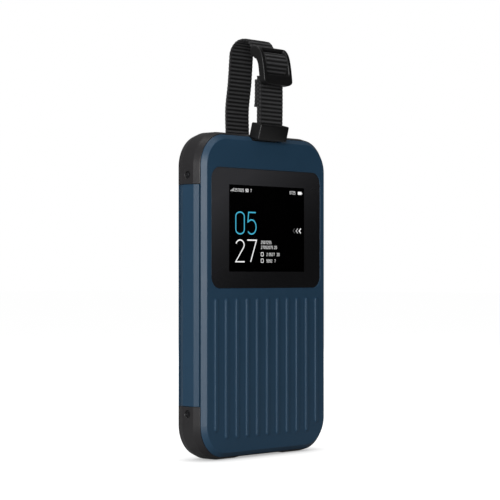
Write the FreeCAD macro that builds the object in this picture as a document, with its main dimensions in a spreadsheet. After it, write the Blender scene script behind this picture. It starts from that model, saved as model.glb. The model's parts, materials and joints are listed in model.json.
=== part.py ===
"""Rugged pocket hotspot with a webbing hand strap, built as separate named pieces.

Millimetres. +X is to the right of the display, +Y points to the rear and +Z up. The origin is on the
plane of the two feet, centred in width and midway between the front and rear faces.

Every outline of the case is the same rounded rectangle, drawn further in by an inset: the bumper's
outline has inset 0, and each shell, band, tongue and cavity wall has its own inset.
"""

import FreeCAD, Part
import math
import os
import re
import Sketcher

VALUES = [
    # overall
    ("case_width", 82.4, "across the bumpers"),
    ("case_height", 138.1, "feet to the top of the upper bumper"),
    ("case_depth", 16.5, "front face to rear face"),
    ("corner_radius", 15.0, "bumper outline corners"),
    # sections of the case, as insets from the bumper outline and distances from the middle plane
    ("bumper_taper", 0.9, "how far the bumper's bevel comes in"),
    ("bumper_set_back", 2.1, "front or rear face to the bumper's edge"),
    ("band_flat_half", 3.05, "half of the flat stretch of the band and bumpers"),
    ("band_inset", 0.3, "side band's flat"),
    ("band_edge_inset", 1.2, "side band's bevelled edge"),
    ("band_set_back", 3.0, "front or rear face to the band's edge"),
    ("rim_inset", 1.2, "shell rim"),
    ("rim_set_back", 2.0, "front or rear face to the shell rim's edge"),
    ("rim_land", 0.1, "flat strip between the shell's bevel and its edge"),
    ("face_inset", 3.1, "edge of the flat face"),
    ("seat_inset", 2.2, "seat of the bumpers on the frame"),
    ("tongue_gap", 0.05, "tongue to bumper"),
    ("cavity_inset", 4.2, "inner wall of the case"),
    ("ledge_inset", 5.4, "inner edge of the board's ledge"),
    ("opening_lead", 1.0, "start of the side openings inside the ledge"),
    ("face_wall", 1.8, "thickness of the front and rear faces"),
    # bumpers
    ("upper_bumper_reach", 22.4, "top of the case down to the upper bumper's ends"),
    ("lower_bumper_reach", 22.9, "height of the lower bumper's ends"),
    ("end_gap", 0.15, "bumper end to band"),
    ("foot_gap_width", 31.2, "recess between the feet"),
    ("foot_gap_height", 0.8, "depth of that recess"),
    ("cap_screw_rise", 19.9, "height of the lower cap screws"),
    ("cap_screw_drop", 18.5, "top of the case down to the upper cap screws"),
    ("cap_screw_head_radius", 1.5, "cap screw head"),
    ("cap_screw_head", 1.0, "cap screw head height"),
    ("cap_screw_sink", 0.5, "head below the bumper's flat"),
    ("cap_screw_radius", 0.8, "cap screw shank"),
    ("cap_screw_length", 4.4, "cap screw under its head"),
    ("screw_gap", 0.1, "radial clearance of screws"),
    # glass window and display
    ("glass_width", 70.66, "cover glass, across"),
    ("glass_height", 50.67, "cover glass, height"),
    ("glass_radius", 5.0, "cover glass corners"),
    ("glass_thick", 0.8, "cover glass, thickness"),
    ("glass_sink", 0.1, "glass below the face"),
    ("glass_drop", 40.5, "top of the case down to the glass's middle"),
    ("glass_gap", 0.15, "glass to window edge"),
    ("adhesive_thick", 0.2, "glass adhesive"),
    ("glass_ledge", 2.4, "ledge under the glass"),
    ("panel_side", 8.33, "cover glass beyond each side of the display cell"),
    ("panel_end", 3.835, "cover glass beyond each end of the display cell"),
    ("panel_thick", 1.2, "display cell, thickness"),
    ("backlight_thick", 1.4, "backlight unit"),
    ("bracket_rail", 3.6, "width of the display bracket's rails"),
    ("bracket_gap", 0.2, "bracket to backlight"),
    ("bracket_thick", 1.8, "display bracket"),
    ("flex_width", 12.0, "display flex, across"),
    ("flex_length", 16.0, "display flex, length"),
    ("flex_thick", 0.2, "display flex, thickness"),
    # ribs of the front
    ("rib_width", 2.5, "raised rib"),
    ("rib_end_radius", 1.2, "raised rib's ends"),
    ("rib_rise", 0.5, "raised rib above the face"),
    ("rib_bevel", 0.42, "bevel of the rib's edges"),
    ("rib_pitch", 6.53, "middle to middle"),
    ("rib_count", 9, "full-length ribs"),
    ("rib_low", 8.75, "lower end of the ribs"),
    ("rib_gap", 4.165, "glass down to the ribs"),
    ("outer_rib_low", 12.2, "lower end of the outermost two"),
    # seals
    ("seal_wide", 0.8, "perimeter seal, width"),
    ("seal_deep", 0.6, "perimeter seal, depth"),
    ("seal_inset", 2.9, "outer edge of the perimeter seal"),
    # case screws and their bosses
    ("boss_radius", 2.6, "screw boss"),
    ("boss_side_margin", 8.7, "case side to the bosses"),
    ("boss_margin", 8.5, "case end to the bosses"),
    ("case_screw_radius", 0.9, "case screw shank"),
    ("case_screw_length", 7.0, "case screw under its head"),
    ("case_screw_head_radius", 1.8, "case screw head"),
    ("case_screw_head", 1.0, "case screw head height"),
    ("case_screw_sink", 0.2, "head below the rear face"),
    # main board and what it carries
    ("board_front", -3.4, "front surface of the main board"),
    ("board_thick", 1.0, "main board"),
    ("board_low", 16.0, "lower edge of the main board"),
    ("board_drop", 16.1, "top of the case down to the main board"),
    ("board_gap", 0.3, "board to case wall"),
    ("board_corner", 2.0, "main board's corners"),
    ("can_height", 1.8, "shield cans, height"),
    ("can_wall", 0.2, "shield cans, wall"),
    ("can_width", 28.0, "shield cans, across"),
    ("can_length", 30.0, "shield cans, length"),
    ("can_rise", 66.0, "lower edge of the modem's can"),
    ("can_spread", 16.5, "middle of the case to the middle of the modem's can"),
    ("memory_can_spread", 10.5, "middle of the case to the middle of the memory can"),
    ("memory_can_width", 18.0, "memory can"),
    ("memory_can_rise", 30.0, "lower edge of the memory can"),
    ("chip_side", 14.0, "processor and modem, side"),
    ("chip_thick", 1.2, "processor and modem, thickness"),
    ("memory_side", 11.0, "memory"),
    ("pad_thick", 0.5, "thermal pads"),
    ("spreader_thick", 0.4, "heat spreader, thickness"),
    ("spreader_low", 18.0, "lower edge of the heat spreader"),
    ("spreader_over", 4.0, "heat spreader beyond the battery's upper edge"),
    ("spreader_width", 62.0, "heat spreader, across"),
    ("battery_width", 60.0, "battery pack"),
    ("battery_low", 20.0, "lower edge of the battery"),
    ("battery_drop", 30.1, "top of the case down to the battery"),
    ("battery_edge_radius", 1.6, "battery pack's long edges"),
    ("foam_thick", 0.5, "foam behind the battery"),
    ("foam_margin", 8.0, "battery's edge to foam's edge"),
    ("plug_width", 8.0, "battery connector, across"),
    ("plug_height", 4.0, "battery connector, height"),
    ("plug_thick", 1.2, "battery connector, thickness"),
    ("plug_over", 6.0, "battery's upper edge to its connector"),
    ("lead_width", 5.0, "battery lead, across"),
    ("lead_thick", 0.8, "battery lead, thickness"),
    # antennas
    ("aerial_length", 50.0, "upper and lower antennas, length"),
    ("aerial_width", 6.0, "upper and lower antennas, across"),
    ("aerial_thick", 3.0, "upper and lower antennas, thickness"),
    ("aerial_gap", 0.3, "antenna to case wall"),
    ("side_aerial_length", 40.0, "side antennas, length"),
    ("side_aerial_low", 60.0, "lower end of the side antennas"),
    ("side_aerial_thick", 1.0, "side antennas, thickness"),
    ("side_aerial_width", 4.0, "side antennas, across"),
    ("side_aerial_front", 0.8, "front edge of the side antennas"),
    ("contact_width", 1.2, "antenna contacts, across"),
    ("contact_place", 12.0, "antenna contacts from the middle"),
    ("contact_deep", 3.0, "antenna contacts, depth"),
    # power button, on the right
    ("button_drop", 43.1, "top of the case down to the power button"),
    ("button_length", 12.0, "power button, length"),
    ("button_width", 4.0, "power button, across"),
    ("button_proud", 0.3, "power button beyond the band"),
    ("button_flange", 1.0, "flange that keeps the button in, rim"),
    ("button_flange_thick", 0.8, "flange that keeps the button in, thickness"),
    ("button_gap", 0.2, "button to its hole"),
    ("button_travel", 0.4, "power button's stroke"),
    ("gasket_wall", 0.5, "button gasket, wall"),
    ("gasket_deep", 1.8, "button gasket, depth"),
    ("switch_side", 4.0, "tactile switch, side"),
    ("switch_thick", 1.2, "tactile switch, thickness"),
    ("key_board_thick", 0.8, "side key board, thickness"),
    ("key_board_length", 14.0, "side key board, length"),
    ("key_board_width", 5.4, "side key board, across"),
    # data port and its flap, on the right
    ("port_middle", 40.0, "height of the port"),
    ("port_length", 9.0, "receptacle, length"),
    ("port_thick", 3.2, "receptacle, thickness"),
    ("port_deep", 7.4, "receptacle, depth"),
    ("port_shell", 0.3, "receptacle's metal shell"),
    ("port_set_back", 1.8, "band's flat to the receptacle's mouth"),
    ("port_gap", 0.3, "receptacle to its hole"),
    ("tongue_thick", 0.7, "contact tongue, thickness"),
    ("tongue_length", 6.6, "contact tongue, length"),
    ("tongue_set_back", 1.0, "contact tongue from the mouth"),
    ("flap_length", 16.0, "port flap, length"),
    ("flap_width", 5.4, "port flap, across"),
    ("flap_thick", 1.2, "port flap, thickness"),
    ("flap_gap", 0.15, "flap to its seat"),
    ("flap_pin_radius", 0.4, "flap's hinge pin"),
    ("flap_pin_margin", 1.0, "band's edge to the hinge pin's ends"),
    ("flap_knuckle_radius", 0.55, "flap's rounded foot"),
    ("flap_pin_gap", 0.05, "radial clearance of the hinge pin"),
    ("flap_plug_length", 7.6, "plug on the flap's back, length"),
    ("flap_plug_thick", 2.2, "plug on the flap's back, thickness"),
    ("flap_plug_deep", 0.5, "plug on the flap's back, depth"),
    # card tray, on the right
    ("tray_middle", 66.0, "height of the tray"),
    ("tray_width", 11.6, "tray, across"),
    ("tray_length", 18.0, "tray, length"),
    ("tray_thick", 1.2, "tray, thickness"),
    ("tray_face_length", 15.0, "tray's outer face, length"),
    ("tray_face_width", 3.0, "tray's outer face, across"),
    ("tray_face_thick", 1.0, "tray's outer face, thickness"),
    ("tray_gap", 0.2, "tray to its slot"),
    ("socket_wall", 0.25, "card socket, wall"),
    ("socket_length", 14.0, "card socket, length"),
    ("card_width", 8.8, "card, across"),
    ("card_length", 12.3, "card, length"),
    ("card_thick", 0.7, "card, thickness"),
    ("card_gap", 0.1, "card in its tray"),
    ("card_margin", 1.0, "tray's inner end to the card"),
    # webbing
    ("web_width", 15.0, "webbing, across"),
    ("web_thick", 1.2, "webbing, thickness"),
    ("web_gap", 0.2, "webbing to the walls round it"),
    ("tunnel_side", 0.7, "strap tunnel beyond each edge of the webbing"),
    ("tunnel_floor", 3.1, "top of the case down to the tunnel's floor"),
    ("tunnel_room", 0.4, "strap tunnel beyond the webbing's thickness"),
    ("notch_side", 0.3, "shell notch beyond each side of the keeper"),
    ("bridge_set_back", 1.25, "bumper's edge to the bridge over the tunnel"),
    ("tunnel_lead", 1.4, "webbing in front of the bridge"),
    ("front_leg_stand", 2.45, "front leg's surface before the front face"),
    ("front_leg_low", 5.1, "lower end of the front leg above the case"),
    ("front_leg_length", 19.8, "front leg"),
    ("tail_low", 11.5, "free end of the webbing above the case"),
    ("tail_length", 12.0, "free tail of the webbing"),
    ("rear_bend_radius", 3.0, "middle of the webbing where it leaves the tunnel"),
    ("rear_bend_out", 0.15, "bumper's edge to that bend's centre"),
    ("rear_leg_bow", 1.15, "rear leg's middle behind the rear face where it bows out"),
    ("rear_leg_bow_rise", 11.9, "height of that bow above the case"),
    ("rear_leg_waist", 0.25, "rear leg's middle before the rear face where it turns in"),
    ("rear_leg_waist_rise", 22.9, "height of that turn above the case"),
    ("crown_set_back", 1.15, "rear face to the rear leg's middle at the crown"),
    ("crown_rise", 33.9, "crown's centre above the case"),
    ("crown_turn", 148.0, "degrees that the crown turns"),
    # keeper
    ("keeper_side", 1.7, "keeper beyond each edge of the webbing"),
    ("keeper_deep", 5.9, "keeper, depth"),
    ("keeper_height", 6.7, "keeper, height"),
    ("keeper_lean", 15.0, "degrees that the keeper leans forward"),
    ("keeper_stand", 0.9, "keeper's middle before the front face"),
    ("keeper_rise", -0.1, "keeper's middle above webbing laid on the case"),
    ("keeper_slot", 3.0, "keeper's slot"),
    # slider
    ("slider_side", 1.7, "slider beyond each edge of the webbing"),
    ("slider_thick", 3.2, "slider"),
    ("slider_straight", 7.0, "straight stretch of the slider"),
    ("slider_radius", 6.8, "inner radius of the slider's bend"),
    ("slider_turn", 68.0, "degrees of the slider's bend"),
    ("slider_lean", 6.9, "degrees that the slider's top leans back"),
    ("slider_stand", 6.65, "slider's lower edge before the front face"),
    ("slider_rise", 22.1, "height of that edge above the case"),
    ("window_low", 2.4, "slider's lower bar"),
    ("window_high", 13.2, "top of the slider's window"),
    ("window_side", 0.3, "slider's window beyond each edge of the webbing"),
    ("bar_low", 6.6, "lower edge of the slider's middle bar"),
    ("bar_height", 2.8, "slider's middle bar, height"),
    ("bar_thick", 1.4, "slider's middle bar, thickness"),
    ("wrap_low", 5.0, "webbing on the middle bar, lower edge"),
    ("wrap_height", 6.2, "webbing on the middle bar"),
    ("wrap_gap", 0.1, "webbing to the middle bar"),
]

KNOWN = {alias for alias, value, meaning in VALUES}
OVERRUN = "5"
TOLERANCE = 1e-6

doc = FreeCAD.newDocument("Hotspot")
sheet = doc.addObject("Spreadsheet::Sheet", "Sizes")
for row, (alias, value, meaning) in enumerate(VALUES, start=1):
    sheet.set(f"A{row}", meaning)
    sheet.set(f"B{row}", str(value))
    sheet.setAlias(f"B{row}", alias)
doc.recompute()

nodes = []


# ---------------------------------------------------------------- expressions

def bound(text):
    """Turn plain words into references to the sheet."""
    return re.sub(r"[a-z]\w+", lambda word: named(word.group()), text)


def named(word):
    return f"Sizes.{word}" if word in KNOWN else word


def number(text):
    """The present value of an expression."""
    value = sheet.evalExpression(bound(text))
    return float(getattr(value, "Value", value))


def tie(thing, field, text):
    thing.setExpression(field, bound(text))


def keep(thing, label):
    """Name a finished piece and add it to the pieces that are written."""
    thing.Label = label
    nodes.append(thing)
    return thing


# ---------------------------------------------------------------- solids from primitives

def block(name, x, y, z):
    """A box between pairs of expressions."""
    box = doc.addObject("Part::Box", name)
    for field, axis, (low, high) in (("Length", "x", x), ("Width", "y", y), ("Height", "z", z)):
        tie(box, field, f"({high}) - ({low})")
        tie(box, f"Placement.Base.{axis}", low)
    return box


def rod(name, axis, radius, low, high, across, up):
    """A cylinder along X or Y; across and up place its middle line."""
    peg = doc.addObject("Part::Cylinder", name)
    tie(peg, "Radius", radius)
    tie(peg, "Height", f"({high}) - ({low})")
    if axis == "x":
        turn = FreeCAD.Rotation(FreeCAD.Vector(0, 1, 0), 90)
        place = {"x": low, "y": across, "z": up}
    else:
        turn = FreeCAD.Rotation(FreeCAD.Vector(1, 0, 0), -90)
        place = {"x": across, "y": low, "z": up}
    peg.Placement = FreeCAD.Placement(FreeCAD.Vector(), turn)
    for key, text in place.items():
        tie(peg, f"Placement.Base.{key}", text)
    return peg


def fused(name, *pieces):
    whole = doc.addObject("Part::MultiFuse", name)
    whole.Shapes = list(pieces)
    return whole


def without(name, base, *tools):
    cut = doc.addObject("Part::Cut", name)
    cut.Base = base
    cut.Tool = tools[0] if len(tools) == 1 else fused(f"{name}_tools", *tools)
    return cut


def group(name, *pieces):
    """Identical pieces that share one node."""
    family = doc.addObject("Part::Compound", name)
    family.Links = list(pieces)
    return family


def bent(name, radius, thick, width, turn):
    """A strip bent round the X axis, from +Y upwards through an angle."""
    rings = []
    for part, text in (("outer", f"{radius} + {thick} / 2"), ("inner", f"{radius} - {thick} / 2")):
        drum = doc.addObject("Part::Cylinder", f"{name}_{part}")
        tie(drum, "Radius", text)
        tie(drum, "Height", width)
        tie(drum, "Angle", turn)
        drum.Placement.Rotation = FreeCAD.Rotation(
            FreeCAD.Vector(0, 1, 0), FreeCAD.Vector(0, 0, 1), FreeCAD.Vector(1, 0, 0))
        tie(drum, "Placement.Base.x", f"-({width}) / 2")
        rings.append(drum)
    return without(name, *rings)


# ---------------------------------------------------------------- sketches and features

def body(name):
    return doc.addObject("PartDesign::Body", name)


def sketch_on(host, name, role, level):
    """A sketch on one of the body's own planes, moved to a level along +X, +Y or +Z."""
    sketch = host.newObject("Sketcher::SketchObject", name)
    plane = next(item for item in host.Origin.OriginFeatures if item.Role == role)
    sketch.AttachmentSupport = (plane, "")
    sketch.MapMode = "FlatFace"
    sign = "-" if role == "XZ_Plane" else ""
    tie(sketch, "AttachmentOffset.Base.z", f"{sign}({level})")
    return sketch


def draw_profile(sketch, sides, radii):
    """A closed outline of alternating level and upright sides, starting with a level one.

    sides are the places of the sides, in order; radii are those of the corners after each side,
    with None for a sharp corner.
    """
    places = [number(side) for side in sides]
    rounds = [number(radius) if radius else 0.0 for radius in radii]
    count = len(sides)
    corners = []
    for k in range(count):
        after = places[(k + 1) % count]
        corners.append(FreeCAD.Vector(after, places[k], 0) if k % 2 == 0 else
                       FreeCAD.Vector(places[k], after, 0))
    runs = []
    for k in range(count):
        start, end = corners[k - 1], corners[k]
        along = (end - start).normalize()
        runs.append((start + along * rounds[k - 1], end - along * rounds[k], along))
    line_of, arc_of = [], {}
    for start, end, along in runs:
        line_of.append(sketch.addGeometry(Part.LineSegment(start, end), False))
    for k in range(count):
        if radii[k]:
            arc_of[k] = sketch.addGeometry(corner_arc(runs[k], runs[(k + 1) % count], rounds[k]), False)
    rules = []
    for k in range(count):
        line, after = line_of[k], line_of[(k + 1) % count]
        rules.append(Sketcher.Constraint("Horizontal" if k % 2 == 0 else "Vertical", line))
        if radii[k]:
            first, last = (1, 2) if turns_left(runs[k], runs[(k + 1) % count]) else (2, 1)
            rules.append(Sketcher.Constraint("Tangent", line, 2, arc_of[k], first))
            rules.append(Sketcher.Constraint("Tangent", arc_of[k], last, after, 1))
        else:
            rules.append(Sketcher.Constraint("Coincident", line, 2, after, 1))
    sketch.addConstraint(rules)
    for k in range(count):
        kind = "DistanceY" if k % 2 == 0 else "DistanceX"
        measure(sketch, Sketcher.Constraint(kind, -1, 1, line_of[k], 1, places[k]), sides[k])
        if radii[k]:
            measure(sketch, Sketcher.Constraint("Radius", arc_of[k], rounds[k]), radii[k])


def turns_left(run, after):
    return run[2].cross(after[2]).z > 0


def corner_arc(run, after, radius):
    left = turns_left(run, after)
    centre = run[1] + after[2] * radius
    ends = [run[1], after[0]] if left else [after[0], run[1]]
    first, last = (math.atan2(point.y - centre.y, point.x - centre.x) for point in ends)
    last += 2 * math.pi if last < first else 0
    return Part.ArcOfCircle(Part.Circle(centre, FreeCAD.Vector(0, 0, 1), radius), first, last)


def measure(sketch, rule, text):
    """Add a measured constraint and tie it to the sheet."""
    index = sketch.addConstraint(rule)
    name = f"size{index}"
    sketch.renameConstraint(index, name)
    tie(sketch, f"Constraints.{name}", text)


def draw_rectangle(sketch, left, right, low, high, radius=None):
    draw_profile(sketch, [low, right, high, left], [radius] * 4)


def draw_circles(sketch, circles):
    for across, up, radius in circles:
        centre = FreeCAD.Vector(number(across), number(up), 0)
        ring = Part.Circle(centre, FreeCAD.Vector(0, 0, 1), number(radius))
        index = sketch.addGeometry(ring, False)
        measure(sketch, Sketcher.Constraint("DistanceX", -1, 1, index, 3, centre.x), across)
        measure(sketch, Sketcher.Constraint("DistanceY", -1, 1, index, 3, centre.y), up)
        measure(sketch, Sketcher.Constraint("Radius", index, number(radius)), radius)


def draw_outline(sketch, inset):
    """The case's rounded rectangle at an inset."""
    draw_rectangle(sketch, f"-case_width / 2 + ({inset})", f"case_width / 2 - ({inset})",
                   f"({inset})", f"case_height - ({inset})", f"corner_radius - ({inset})")


def pad(host, name, role, low, high, draw, *args):
    """Add material from one level to a higher one."""
    sketch = sketch_on(host, f"{name}_sketch", role, low)
    draw(sketch, *args)
    feature = host.newObject("PartDesign::Pad", name)
    feature.Profile = sketch
    feature.Reversed = role == "XZ_Plane"
    tie(feature, "Length", f"({high}) - ({low})")
    doc.recompute()
    return feature


def pocket(host, name, role, low, high, draw, *args):
    """Take material away from one level to a higher one, and check that some went."""
    before = host.Shape.Volume
    sketch = sketch_on(host, f"{name}_sketch", role, low)
    draw(sketch, *args)
    feature = host.newObject("PartDesign::Pocket", name)
    feature.Profile = sketch
    feature.Reversed = role != "XZ_Plane"
    tie(feature, "Length", f"({high}) - ({low})")
    doc.recompute()
    if host.Shape.Volume >= before:
        raise RuntimeError(f"{name} cut nothing")
    return feature


def tapered(host, name, sections):
    """A loft through the case outline at (level, inset) sections."""
    sketches = []
    for index, (level, inset) in enumerate(sections):
        sketch = sketch_on(host, f"{name}_section{index}", "XZ_Plane", level)
        draw_outline(sketch, inset)
        sketches.append(sketch)
    loft = host.newObject("PartDesign::AdditiveLoft", name)
    loft.Profile = sketches[0]
    loft.Sections = sketches[1:]
    loft.Ruled = True
    doc.recompute()
    return loft


def edge_names(shape, wanted):
    return [f"Edge{k}" for k, edge in enumerate(shape.Edges, start=1) if wanted(edge)]


def bevel(host, name, base, size, wanted):
    chamfer = host.newObject("PartDesign::Chamfer", name)
    chamfer.Base = (base, edge_names(base.Shape, wanted))
    tie(chamfer, "Size", size)
    doc.recompute()
    return chamfer


def level_at(axis, text):
    """A test for edges whose ends all lie at one level."""
    level = number(text)
    return lambda edge: all(abs(getattr(v.Point, axis) - level) < TOLERANCE for v in edge.Vertexes)


# ---------------------------------------------------------------- shared places

FRONT = "-case_depth / 2"
REAR = "case_depth / 2"
SIDE = "case_width / 2"
RIM_EDGE = "(case_depth / 2 - rim_set_back)"
BAND_EDGE = "(case_depth / 2 - band_set_back)"
BUMPER_EDGE = "(case_depth / 2 - bumper_set_back)"
BAND_FLAT = f"{SIDE} - band_inset"
CAVITY = f"{SIDE} - cavity_inset"
BOARD_REAR = "board_front + board_thick"
CAN_REAR = f"{BOARD_REAR} + can_height"
PAD_REAR = f"{CAN_REAR} + pad_thick"
SPREADER_REAR = f"{PAD_REAR} + spreader_thick"
INNER_REAR = f"{REAR} - face_wall"
INNER_FRONT = f"{FRONT} + face_wall"
UPPER_END = "case_height - upper_bumper_reach"
UPPER_SCREW = "case_height - cap_screw_drop"
GLASS_MIDDLE = "case_height - glass_drop"
RIB_HIGH = f"{GLASS_MIDDLE} - glass_height / 2 - rib_gap"
BOARD_HIGH = "case_height - board_drop"
BATTERY_HIGH = "case_height - battery_drop"
PLUG_LOW = f"{BATTERY_HIGH} + plug_over"
BUTTON_MIDDLE = "case_height - button_drop"
BRIDGE_FRONT = f"-{BUMPER_EDGE} + bridge_set_back"
REAR_BEND = f"{BUMPER_EDGE} + rear_bend_out"
CROWN_MIDDLE = "case_height + crown_rise"
CROWN_RADIUS = "(case_depth / 2 - crown_set_back)"
TUNNEL_HEIGHT = "(web_thick + tunnel_room)"
TUNNEL_WIDTH = "(web_width + 2 * tunnel_side)"
KEEPER_WIDTH = "(web_width + 2 * keeper_side)"
NOTCH_WIDTH = f"({KEEPER_WIDTH} + 2 * notch_side)"
SLIDER_WIDTH = "(web_width + 2 * slider_side)"
WINDOW_WIDTH = "(web_width + 2 * window_side)"
PIN_START = f"-{BAND_EDGE} + flap_pin_margin"
PIN_END = f"{BAND_EDGE} - flap_pin_margin"
TUNNEL_FLOOR = "case_height - tunnel_floor"
GLASS_FRONT = f"{FRONT} + glass_sink"
PANEL_WIDTH = "(glass_width - 2 * panel_side)"
PANEL_HEIGHT = "(glass_height - 2 * panel_end)"
GLASS_REAR = f"{GLASS_FRONT} + glass_thick"
ADHESIVE_REAR = f"{GLASS_REAR} + adhesive_thick"
PORT_MIDDLE_Y = f"{BOARD_REAR} + port_thick / 2"
TRAY_MIDDLE_Y = f"{BOARD_REAR} + socket_wall + tray_gap + tray_thick / 2"
TRAY_FACE_REAR = f"{BAND_FLAT} - tray_face_thick"
FLAP_SEAT = f"{BAND_FLAT} - flap_thick - flap_gap"
FLAP_LOW = "port_middle - flap_length / 2"
FLAP_HIGH = "port_middle + flap_length / 2"
PIN_RISE = f"{FLAP_LOW} + flap_thick / 2 + flap_gap"
PIN_PLACE = f"{BAND_FLAT} - flap_thick / 2"
HOLE_START = f"{SIDE} - ledge_inset - opening_lead"
KEEPER_MIDDLE = (f"{FRONT} - keeper_stand", "case_height + web_thick + keeper_rise")


def around(middle, length, gap="0"):
    """The two ends of a stretch about its middle."""
    return f"{middle} - ({length}) / 2 - ({gap})", f"{middle} + ({length}) / 2 + ({gap})"


# ---------------------------------------------------------------- shells, frame and bumpers

def notch_for_strap(host, low, high, width):
    """Open the top edge over the strap tunnel."""
    left, right = around("0", width)
    pocket(host, "strap_notch", "XZ_Plane", low, high,
           draw_rectangle, left, right, TUNNEL_FLOOR, f"case_height + {OVERRUN}")


def make_front_shell():
    shell = body("front_shell")
    tapered(shell, "face", [(FRONT, "face_inset"),
                            (f"-{RIM_EDGE} - rim_land", "rim_inset"),
                            (f"-{RIM_EDGE}", "rim_inset")])
    pad(shell, "tongue", "XZ_Plane", f"-{RIM_EDGE}", f"-{BAND_EDGE}",
        draw_outline, "seat_inset + tongue_gap")
    pocket(shell, "hollow", "XZ_Plane", INNER_FRONT, f"-{BAND_EDGE}", draw_outline, "cavity_inset")
    left, right = around("0", "glass_width", "glass_gap")
    low, high = around(GLASS_MIDDLE, "glass_height", "glass_gap")
    pocket(shell, "glass_seat", "XZ_Plane", FRONT, ADHESIVE_REAR,
           draw_rectangle, left, right, low, high, "glass_radius + glass_gap")
    left, right = around("0", "glass_width", "-glass_ledge")
    low, high = around(GLASS_MIDDLE, "glass_height", "-glass_ledge")
    pocket(shell, "window", "XZ_Plane", ADHESIVE_REAR, INNER_FRONT,
           draw_rectangle, left, right, low, high, "glass_radius - glass_ledge")
    notch_for_strap(shell, FRONT, f"-{BAND_EDGE}", NOTCH_WIDTH)
    add_ribs(shell)
    return keep(shell, "front_shell")


def add_ribs(shell):
    """A row of full-length ribs and one shorter rib at each side of it."""
    first = "-rib_pitch * (rib_count - 1) / 2"
    rib = one_rib(shell, "rib", first, "rib_low")
    row = shell.newObject("PartDesign::LinearPattern", "rib_row")
    row.Originals = rib
    axis = next(item for item in shell.Origin.OriginFeatures if item.Role == "X_Axis")
    row.Direction = (axis, [""])
    tie(row, "Length", "rib_pitch * (rib_count - 1)")
    tie(row, "Occurrences", "rib_count")
    shell.Tip = row
    doc.recompute()
    outer = one_rib(shell, "outer_rib", "-rib_pitch * (rib_count + 1) / 2", "outer_rib_low")
    pair = shell.newObject("PartDesign::Mirrored", "outer_ribs")
    pair.Originals = outer
    plane = next(item for item in shell.Origin.OriginFeatures if item.Role == "YZ_Plane")
    pair.MirrorPlane = (plane, [""])
    shell.Tip = pair
    doc.recompute()


def one_rib(shell, name, middle, low):
    """A rib in two steps: its foot, and a narrower crest that gives it shoulders."""
    foot_top = f"{FRONT} - rib_rise + rib_bevel"
    left, right = around(middle, "rib_width")
    foot = pad(shell, f"{name}_foot", "XZ_Plane", foot_top, FRONT,
               draw_rectangle, left, right, low, RIB_HIGH, "rib_end_radius")
    left, right = around(middle, "rib_width", "-rib_bevel")
    crest = pad(shell, f"{name}_crest", "XZ_Plane", f"{FRONT} - rib_rise", foot_top,
                draw_rectangle, left, right, f"{low} + rib_bevel", f"{RIB_HIGH} - rib_bevel",
                "rib_end_radius - rib_bevel")
    return [foot, crest]


def make_rear_shell():
    shell = body("rear_shell")
    tapered(shell, "face", [(REAR, "face_inset"),
                            (f"{RIM_EDGE} + rim_land", "rim_inset"),
                            (RIM_EDGE, "rim_inset")])
    pad(shell, "tongue", "XZ_Plane", BAND_EDGE, RIM_EDGE,
        draw_outline, "seat_inset + tongue_gap")
    pocket(shell, "hollow", "XZ_Plane", BAND_EDGE, INNER_REAR, draw_outline, "cavity_inset")
    pocket(shell, "screw_holes", "XZ_Plane", BAND_EDGE, REAR, draw_circles,
           [(x, z, "case_screw_radius + screw_gap") for x, z in boss_places()])
    pocket(shell, "head_seats", "XZ_Plane", f"{REAR} - case_screw_sink - case_screw_head", REAR,
           draw_circles, [(x, z, "case_screw_head_radius + screw_gap") for x, z in boss_places()])
    notch_for_strap(shell, BAND_EDGE, REAR, NOTCH_WIDTH)
    return keep(shell, "rear_shell")


def boss_places():
    return [(f"{side}(case_width / 2 - boss_side_margin)", up)
            for side in ("-", "") for up in ("boss_margin", "case_height - boss_margin")]


def make_mid_frame():
    """The band: a bevelled ring with a ledge for the board, bosses, and necks under the bumpers."""
    frame = body("mid_frame")
    tapered(frame, "band", [(f"-{BAND_EDGE}", "band_edge_inset"), ("-band_flat_half", "band_inset"),
                            ("band_flat_half", "band_inset"), (BAND_EDGE, "band_edge_inset")])
    pocket(frame, "front_hollow", "XZ_Plane", f"-{BAND_EDGE}", BOARD_REAR, draw_outline, "cavity_inset")
    pocket(frame, "ledge", "XZ_Plane", BOARD_REAR, f"{BOARD_REAR} + board_thick",
           draw_outline, "ledge_inset")
    pocket(frame, "rear_hollow", "XZ_Plane", f"{BOARD_REAR} + board_thick", BAND_EDGE,
           draw_outline, "cavity_inset")
    pad(frame, "bosses", "XZ_Plane", BOARD_REAR, BAND_EDGE, draw_circles,
        [(x, z, "boss_radius") for x, z in boss_places()])
    pocket(frame, "boss_holes", "XZ_Plane", f"{BAND_EDGE} - case_screw_length + face_wall",
           BAND_EDGE, draw_circles,
           [(x, z, "case_screw_radius + screw_gap") for x, z in boss_places()])
    for name, end, far in (("upper_neck", f"{UPPER_END} - end_gap", f"case_height + {OVERRUN}"),
                           ("lower_neck", "lower_bumper_reach + end_gap", f"-{OVERRUN}")):
        pocket(frame, name, "XZ_Plane", f"-{BAND_EDGE}", BAND_EDGE, draw_neck, end, far)
    for name, middle in (("lower", "cap_screw_rise"), ("upper", UPPER_SCREW)):
        pocket(frame, f"{name}_screw_holes", "YZ_Plane", f"-{SIDE}", SIDE, draw_circles,
               [("0", middle, "cap_screw_radius + screw_gap")])
    notch_for_strap(frame, f"-{BAND_EDGE}", BAND_EDGE, TUNNEL_WIDTH)
    for name, edge in (("front", f"-{BAND_EDGE}"), ("rear", f"{BAND_EDGE} - seal_deep")):
        pocket(frame, f"{name}_seal_groove", "XZ_Plane", edge, f"{edge} + seal_deep", draw_seal, "0")
    cut_side_openings(frame)
    return keep(frame, "mid_frame")


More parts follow.
